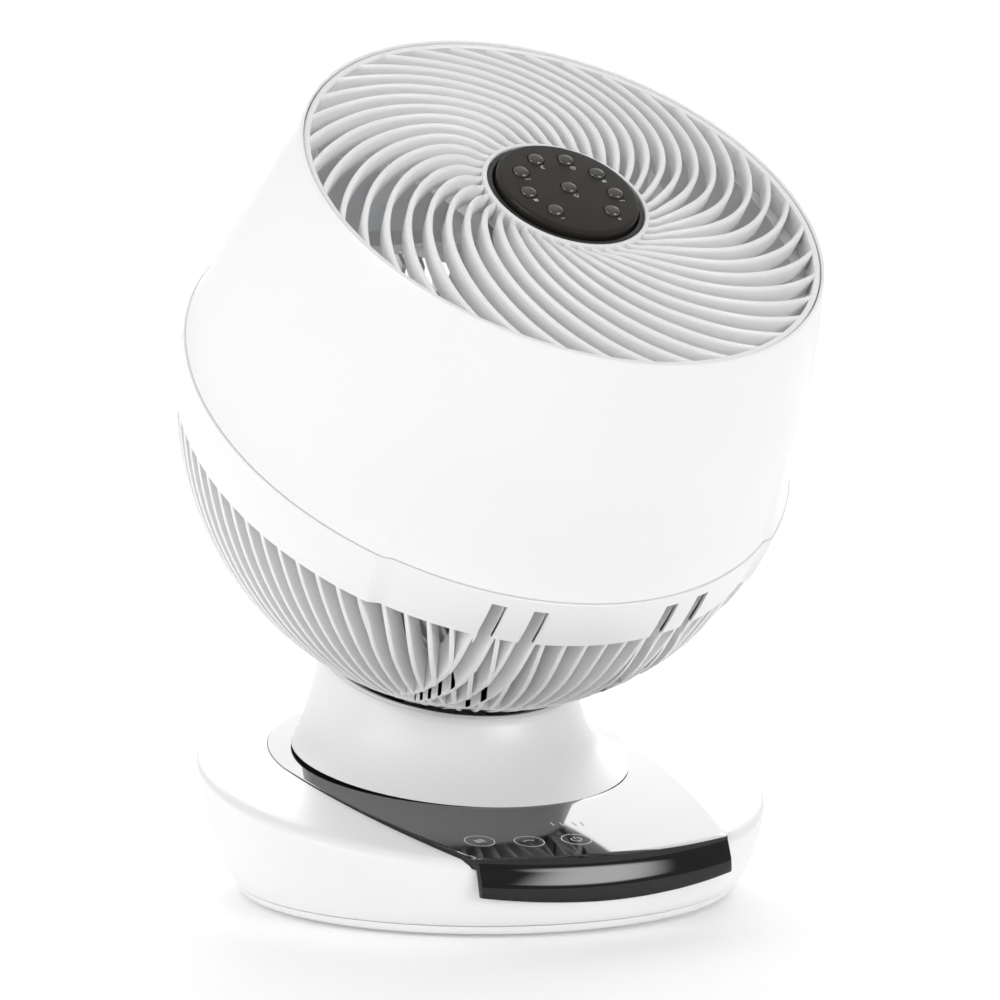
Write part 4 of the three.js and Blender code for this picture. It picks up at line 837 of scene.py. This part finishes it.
# %% Sizes of the base
SEAM_R = 116.2 * mm
SEAM_Z = 5.9 * mm
PLATE_Z = 1.5 * mm
SHOULDER_R = 132.6 * mm
SHOULDER_FORWARD = 22.5 * mm
SHOULDER_ROUND = 5 * mm
BASE_BULGE = 4.2 * mm
BASE_WALL = 2.4 * mm
FRONT_WALL = 5.6 * mm
DECK_WALL = 5.2 * mm
BEARING_R = 66 * mm
PANEL_T = 2.5 * mm
PANEL_HOLE_R = 76 * mm
PANEL_SWEEP = 432 * mm
PANEL_HALF = 62.4 * mm
PANEL_TAPER = 0.065
PANEL_CURVE = 0.00095 / mm
FLAT_FROM, FLAT_TO = 0.06, 0.9
STRAIGHT_WALL = 0.6
LIP_Y = -123 * mm
LIP_Z = 16 * mm
LIP_BACK = 8.2 * mm
LIP_LIFT = 4.8 * mm
BASE_COLUMNS = 200


def deck_point(x, forward, up):
    return TO_DECK @ Vector((x, -forward, up))


def panel_front(x):
    return PANEL_FRONT - x * x / PANEL_SWEEP


def shoulder(angle, inset):
    """Top edge of the base as (x, forward): a circle whose front follows the panel's lip."""
    x = (SHOULDER_R - inset) * math.sin(angle)
    curved = SHOULDER_FORWARD + (SHOULDER_R - inset) * math.cos(angle)
    flat = panel_front(x) - inset + PANEL_PROUD
    soft = 4 * mm
    return x, min(curved, flat) - max(0.0, soft - abs(curved - flat)) ** 2 / (4 * soft)


def base_turns():
    return [2 * math.pi * j / BASE_COLUMNS for j in range(BASE_COLUMNS)]


def wall_ring(u, thick):
    """One ring of the wall, from 0 at the seam to 1 at the shoulder."""
    ring = []
    for a in base_turns():
        front = max(0.0, math.cos(a))
        inward = mix(BASE_WALL, FRONT_WALL, clamp01((front - 0.6) / 0.25)) if thick else 0.0
        top = deck_point(*shoulder(a, 0), -SHOULDER_ROUND / 3)
        straight = STRAIGHT_WALL * clamp01(1 + 1.6 * math.cos(a))
        spread = mix(math.sin(math.pi / 2 * u ** 0.7), u, straight)
        bulge = BASE_BULGE * front * front * math.sin(math.pi * u ** 0.6)
        spot = Vector((mix(SEAM_R * math.sin(a), top.x, spread),
                       mix(-SEAM_R * math.cos(a), top.y, spread) - bulge, 0))
        spot *= 1 - inward / spot.length
        spot.z = mix(SEAM_Z, top.z, u)
        ring.append(spot)
    return ring


def shoulder_ring(share):
    """A quarter of an ellipse from the top of the wall over on to the deck."""
    turn = share * math.pi / 2
    inset, drop = SHOULDER_ROUND * (1 - math.cos(turn)), SHOULDER_ROUND / 3 * (1 - math.sin(turn))
    spots = [shoulder(a, inset) for a in base_turns()]
    return [deck_point(x, f, panel_rise(f) * share - drop) for x, f in spots]


def deck_ring(share, inset, drop):
    """From the shoulder's inner edge to the hole for the neck's bearing."""
    ring = []
    for a in base_turns():
        x, forward = shoulder(a, inset)
        x = mix(x, (BEARING_R + 0.3 * mm) * math.sin(a), share)
        forward = mix(forward, (BEARING_R + 0.3 * mm) * math.cos(a), share)
        ring.append(deck_point(x, forward, panel_rise(forward) - drop))
    return ring


# %% The housing's skin
wall_shares = [0, 0.008, 0.02, 0.045, 0.08, 0.12, 0.17, 0.23, 0.3, 0.38, 0.46, 0.55, 0.64, 0.73, 0.82, 0.91]
base_rings = [wall_ring(u, False) for u in wall_shares]
base_rings += [shoulder_ring(share) for share in steps_between(0, 1, 8)]
base_rings += [deck_ring(share, SHOULDER_ROUND, 0) for share in steps_between(0.1, 1, 9)]
base_rings += [deck_ring(share, FRONT_WALL + SHOULDER_ROUND, DECK_WALL) for share in (1, 0.5, 0)]
base_rings += [wall_ring(u, True) for u in (0.75, 0.5, 0.3, 0.15, 0)]
housing = loft("base_housing_moulding", base_rings, ends="bridge")
print("base skin:", len(base_rings), "rings of", BASE_COLUMNS)


# %% The control panel: plate and lip
def panel_outline(grow):
    """Outline of the panel as (x, forward), grown all round."""
    half = PANEL_HALF + grow
    corner = panel_front(half)
    spots = [(x, panel_front(x) + grow) for x in steps_between(-half, half, 32)]
    side_steps = [corner * (1 - i / 24) for i in range(1, 24)]
    right = [(PANEL_RING_R + grow - PANEL_TAPER * f - PANEL_CURVE * f * f, f) for f in side_steps]
    back = [((PANEL_RING_R + grow) * math.sin(a), (PANEL_RING_R + grow) * math.cos(a))
            for a in steps_between(math.pi / 2, math.pi * 3 / 2, 64)]
    return spots + right + back + [(-x, f) for x, f in reversed(right)]


def panel_plate(grow, top, bottom):
    """The panel without its lip. Two rings near its edges keep the mirror between them flat."""
    outline = panel_outline(grow)
    inner = [(x * s, f * s) for x, f in outline for s in [(PANEL_HOLE_R - grow) / math.hypot(x, f)]]

    def raised(spots, up, lift=1):
        return [deck_point(x, f, panel_rise(f) + up + lift * edge_lift(f)) for x, f in spots]

    def between(share):
        return [(mix(x0, x1, share), mix(f0, f1, share)) for (x0, f0), (x1, f1) in zip(outline, inner)]

    return loft("panel_plate", [
        raised(outline, bottom, 0), raised(outline, top), raised(between(FLAT_FROM), top),
        raised(between(FLAT_TO), top), raised(inner, top), raised(inner, bottom, 0)], ends="bridge")


LIP_LEAN = 1.2 * mm
LIP_FACE = [(0.0, 0.0), (0.04, 0.16), (0.3, 0.52), (0.55, 0.86), (0.62, 0.93), (0.7, 0.97), (0.85, 1.0),
            (0.95, 0.99), (1.0, 0.9)]


def panel_lip(grow, reach):
    """The bar in front, lofted from end to end along the parabola of the front edge."""
    rings = []
    for x in steps_between(-PANEL_HALF - grow, PANEL_HALF + grow, 40):
        share = (x / PANEL_HALF) ** 2
        up = panel_rise(PANEL_FRONT) + PANEL_PROUD + EDGE_SHOWN
        top = deck_point(x, panel_front(x) + grow, up)
        low_y, low_z = LIP_Y + LIP_BACK * share, LIP_Z + LIP_LIFT * share - grow
        back = PANEL_T + grow * 2
        ring = []
        for down, out in LIP_FACE:
            y = mix(top.y + LIP_LEAN, low_y, out) - reach
            ring.append(Vector((x, y, mix(top.z, low_z, down) + reach * (1 - down))))
        ring += [Vector((x, low_y + back, low_z)), Vector((x, top.y + back + grow, top.z - PANEL_T))]
        rings.append(ring)
    return loft("panel_lip", rings)


recess = panel_plate(0.3 * mm, SHOULDER_ROUND * 2, -PANEL_T - 0.3 * mm)
carve(housing, recess)
carve(housing, panel_lip(0.3 * mm, 12 * mm))
settle(housing, Matrix.Identity(4), "base", white, ["base_housing"], crease=32)

panel = panel_plate(0, PANEL_PROUD, -PANEL_T)
lip = panel_lip(0, 0)
modify(panel, "BOOLEAN", operation="UNION", solver="EXACT", object=lip)
bpy.data.objects.remove(lip)
face_outwards(panel)
modify(panel, "BEVEL", width=0.6 * mm, segments=3, limit_method="ANGLE", angle_limit=math.radians(35))
panel.name = "control_panel_moulding"
settle(panel, Matrix.Identity(4), "base", panel_black, ["control_panel"], crease=35)

# %% [markdown]
# ## Printed marks
#
# The touch fields on the panel and the functions of the remote's keys are printed in light grey.
# Each mark is a few strokes, and a stroke is a thin ribbon lofted along a short line of points.

# %% Strokes
MARK_T = 0.06 * mm


def stroke(spots, width, closed=False):
    """A thin ribbon along points in a plane, standing MARK_T high."""
    count = len(spots)
    rings = []
    for i, (x, y) in enumerate(spots):
        before = spots[(i - 1) % count] if closed or i else spots[i]
        after = spots[(i + 1) % count] if closed or i < count - 1 else spots[i]
        ahead = Vector((after[0] - before[0], after[1] - before[1])).normalized()
        side = Vector((-ahead.y, ahead.x)) * width / 2
        rings.append([Vector((x + side.x * a, y + side.y * a, z * MARK_T))
                      for a, z in ((-1, -1), (1, -1), (1, 1), (-1, 1))])
    return loft("stroke", rings, ends="bridge" if closed else "caps")


def arc(x, y, r, low=0.0, high=360.0, count=32):
    turns = [math.radians(a) for a in steps_between(low, high, count)]
    spots = [(x + r * math.cos(a), y + r * math.sin(a)) for a in turns]
    return spots[:-1] if high - low >= 360 else spots


def glyph(kind, x, y, size, width):
    """Plain signs: a rest sign, waves, a clock, arrows, plus and minus."""
    def at(*pairs):
        return [(x + u * size, y + v * size) for u, v in pairs]

    if kind == "rest":
        return [stroke(arc(x, y, size * 0.8, 125, 415), width), stroke(at((0, 0.2), (0, 1.05)), width)]
    if kind == "wind":
        return [stroke([(x + u * size, y + v * size + 0.16 * size * math.sin(u * 5)) for u in
                        steps_between(-0.8, 0.8, 12)], width) for v in (-0.45, 0, 0.45)]
    if kind == "swing":
        return [stroke(arc(x, y - size * 0.5, size, 40, 140, 12), width),
                stroke(at((-0.95, 0.5), (-0.75, 0.14), (-0.4, 0.34)), width),
                stroke(at((0.95, 0.5), (0.75, 0.14), (0.4, 0.34)), width)]
    if kind == "clock":
        return [stroke(arc(x, y, size * 0.85), width, closed=True),
                stroke(at((0, 0.5), (0, 0), (0.4, 0)), width)]
    if kind == "plus":
        return [stroke(at((-0.7, 0), (0.7, 0)), width), stroke(at((0, -0.7), (0, 0.7)), width)]
    if kind == "night":
        return [stroke(arc(x, y, size * 0.8, 60, 300, 20), width),
                stroke(arc(x + size * 0.45, y, size * 0.72, 110, 250, 16), width)]
    return [stroke(at((-0.7, 0), (0.7, 0)), width)]


# %% Marks on the panel
FIELD_R = 6.6 * mm
FIELDS = [(-49.9 * mm, 116.5 * mm, "wind"), (-28.8 * mm, 122.8 * mm, "swing"),
          (-7.0 * mm, 125.8 * mm, "rest")]
TICKS = [(-7.6 * mm, 104.6 * mm), (-3.6 * mm, 105.6 * mm), (2.2 * mm, 107.2 * mm), (5.6 * mm, 108 * mm)]
TICK_HALF = 2.2 * mm
marks = []
for x, forward, kind in FIELDS:
    marks.append(stroke(arc(x, -forward, FIELD_R, count=48), 0.45 * mm, closed=True))
    marks += glyph(kind, x, -forward, 2.9 * mm, 0.5 * mm)
for x, forward in TICKS:
    ends = [(x, -forward - TICK_HALF), (x + 0.5 * mm, -forward + TICK_HALF)]
    marks.append(stroke(ends, 0.8 * mm))
panel_marks = join("panel_marks", marks)
for vertex in panel_marks.data.vertices:
    forward = -vertex.co.y
    vertex.co.z += panel_rise(forward) + PANEL_PROUD + edge_lift(forward)
settle(panel_marks, TO_DECK, "base", print_white)

# %% Marks on the remote
KEY_SIGNS = ["rest", "plus", "swing", "wind", "clock", "night", "swing", "wind", "minus"]
signs = []
for spot, kind in zip(key_places, KEY_SIGNS):
    signs += glyph(kind, spot.x + 1.2 * mm, spot.y - KEY_R - 1.9 * mm, 1.25 * mm, 0.3 * mm)
remote_marks = join("remote_marks", signs)
settle(remote_marks, TO_HEAD @ Matrix.Translation((0, 0, REMOTE_TOP)), "remote", print_white)

# %% [markdown]
# ## The bottom plate
#
# A thin plate closes the base from below and shows under the seam line. Its edge rolls inwards,
# so the fan seems to float a little. It is turned from one outline.

# %% The bottom plate
plate = turned("base_plate_moulding", [
    (0, PLATE_Z), (SEAM_R - 5 * mm, PLATE_Z), (SEAM_R - 3 * mm, PLATE_Z + 0.25 * mm),
    (SEAM_R - 1.6 * mm, PLATE_Z + 1.0 * mm), (SEAM_R - 0.6 * mm, PLATE_Z + 2.4 * mm),
    (SEAM_R - 0.1 * mm, SEAM_Z - 0.6 * mm), (SEAM_R - 0.3 * mm, SEAM_Z - 0.3 * mm),
    (0, SEAM_Z - 0.3 * mm)], steps=200)
settle(plate, Matrix.Identity(4), "base", white, ["base_plate"])

# %% [markdown]
# ## Floor, light and camera
#
# A white appliance on white: the backdrop has to be brighter than the plastic, and the plastic
# still needs shade to show its form. A photographer lights this from a bright wall behind, which
# the black panel mirrors, keeps the room in front dim so that black parts stay black, and shapes
# the white with large soft boxes. The floor is a lit table: a little light of its own burns it
# out to white, and the contact shadow stays.

# %% Floor
FLOOR_SIZE = 4.2
FLOOR_GLOW = 0.12
deselect()
bpy.ops.mesh.primitive_plane_add(size=FLOOR_SIZE, location=(0, 0, 0))
floor = bpy.context.object
floor.name = "floor"
lit_table = moulded("lit_table", (0.95, 0.95, 0.95), (0.94, 0.94, 0.94), (0.8, 0.9), grain=60, ior=1.2)
table_shader = lit_table.node_tree.nodes["Principled BSDF"]
table_shader.inputs["Emission Color"].default_value = (1, 1, 1, 1)
table_shader.inputs["Emission Strength"].default_value = FLOOR_GLOW
floor.data.materials.append(lit_table)

# %% A sky that is bright behind the fan and dim in front
world = bpy.data.worlds.new("studio")
bpy.context.scene.world = world
world.use_nodes = True
sky_nodes, sky_links = world.node_tree.nodes, world.node_tree.links
direction = sky_nodes.new("ShaderNodeTexCoord")
parts = sky_nodes.new("ShaderNodeSeparateXYZ")
sky_links.new(direction.outputs["Generated"], parts.inputs["Vector"])


def grey_ramp(stops):
    """A ramp from the horizon at 0 to straight up at 1."""
    ramp = sky_nodes.new("ShaderNodeValToRGB")
    ramp.color_ramp.elements[0].position, first = stops[0]
    ramp.color_ramp.elements[0].color = (first, first, first, 1)
    ramp.color_ramp.elements[1].position, last = stops[-1]
    ramp.color_ramp.elements[1].color = (last, last, last, 1)
    for position, level in stops[1:-1]:
        ramp.color_ramp.elements.new(position).color = (level, level, level, 1)
    sky_links.new(parts.outputs["Z"], ramp.inputs["Fac"])
    return ramp


behind = grey_ramp([(0.0, 1.05), (0.12, 1.02), (0.3, 0.8), (0.7, 0.75), (1.0, 0.75)])
in_front = grey_ramp([(0.0, 0.4), (0.2, 0.34), (0.6, 0.46), (1.0, 0.78)])
facing = sky_nodes.new("ShaderNodeMapRange")
facing.interpolation_type = "SMOOTHSTEP"
facing.inputs["From Min"].default_value = -0.1
facing.inputs["From Max"].default_value = 0.45
both = sky_nodes.new("ShaderNodeMix")
both.data_type = "RGBA"
background = sky_nodes["Background"]
sky_links.new(parts.outputs["Y"], facing.inputs["Value"])
sky_links.new(facing.outputs["Result"], both.inputs["Factor"])
sky_links.new(in_front.outputs["Color"], both.inputs["A"])
sky_links.new(behind.outputs["Color"], both.inputs["B"])
sky_links.new(both.outputs["Result"], background.inputs["Color"])

# %% [markdown]
# The highlight along the black lip is the mirror image of a soft light in front. A glow in the
# sky makes it: the closer a direction is to the glow's middle, the brighter it is. Stretching
# the direction's height first makes the glow wider than it is high.

# %% A wide glow in front, which the lip mirrors as a soft highlight
GLOW_AT = Vector((0.42, -0.87, 0.24))
GLOW_HALF = math.radians(18)
GLOW_LEVEL = 13
FLATTENED = (1, 1, 2.2)
flat = sky_nodes.new("ShaderNodeVectorMath")
flat.operation = "MULTIPLY"
flat.inputs[1].default_value = FLATTENED
unit = sky_nodes.new("ShaderNodeVectorMath")
unit.operation = "NORMALIZE"
near_glow = sky_nodes.new("ShaderNodeVectorMath")
near_glow.operation = "DOT_PRODUCT"
near_glow.inputs[1].default_value = Vector([a * b for a, b in zip(GLOW_AT, FLATTENED)]).normalized()
fade = sky_nodes.new("ShaderNodeMapRange")
fade.interpolation_type = "SMOOTHSTEP"
fade.inputs["From Min"].default_value = math.cos(GLOW_HALF)
fade.inputs["To Max"].default_value = GLOW_LEVEL
glow = sky_nodes.new("ShaderNodeBackground")
added = sky_nodes.new("ShaderNodeAddShader")
sky_links.new(direction.outputs["Generated"], flat.inputs[0])
sky_links.new(flat.outputs["Vector"], unit.inputs[0])
sky_links.new(unit.outputs["Vector"], near_glow.inputs[0])
sky_links.new(near_glow.outputs["Value"], fade.inputs["Value"])
sky_links.new(fade.outputs["Result"], glow.inputs["Strength"])
sky_links.new(background.outputs["Background"], added.inputs[0])
sky_links.new(glow.outputs["Background"], added.inputs[1])
sky_links.new(added.outputs["Shader"], sky_nodes["World Output"].inputs["Surface"])


# %% Soft boxes
def soft_box(name, place, aim, size, radiance):
    """A rectangular lamp whose face has a given brightness."""
    lamp = bpy.data.lights.new(name, "AREA")
    lamp.shape = "RECTANGLE"
    lamp.size, lamp.size_y = size
    lamp.energy = radiance * math.pi * size[0] * size[1]
    holder = bpy.data.objects.new(name, lamp)
    bpy.context.scene.collection.objects.link(holder)
    holder.location = place
    holder.rotation_euler = (Vector(aim) - Vector(place)).to_track_quat("-Z", "Y").to_euler()
    holder.visible_camera = False


soft_box("left_box", (-2.1, -0.5, 0.9), (0, 0, 0.2), (1.5, 1.3), 2.6)
soft_box("mirrored_wall", (1.4, 2.3, 1.3), (0, 0, 0), (2.6, 1.3), 3.9)

# %% Camera
CAMERA_PLACE = Vector((-646.7, -1225.5, 279.2)) * mm
CAMERA_AIM = Vector((5.75, -3.07, 180.77)) * mm
camera = bpy.data.objects.new("camera", bpy.data.cameras.new("camera"))
bpy.context.scene.collection.objects.link(camera)
camera.data.sensor_width = 36
camera.data.lens = 108
camera.location = CAMERA_PLACE
camera.rotation_euler = (CAMERA_AIM - CAMERA_PLACE).to_track_quat("-Z", "Y").to_euler()
bpy.context.scene.camera = camera
bpy.context.scene.view_settings.view_transform = "Standard"
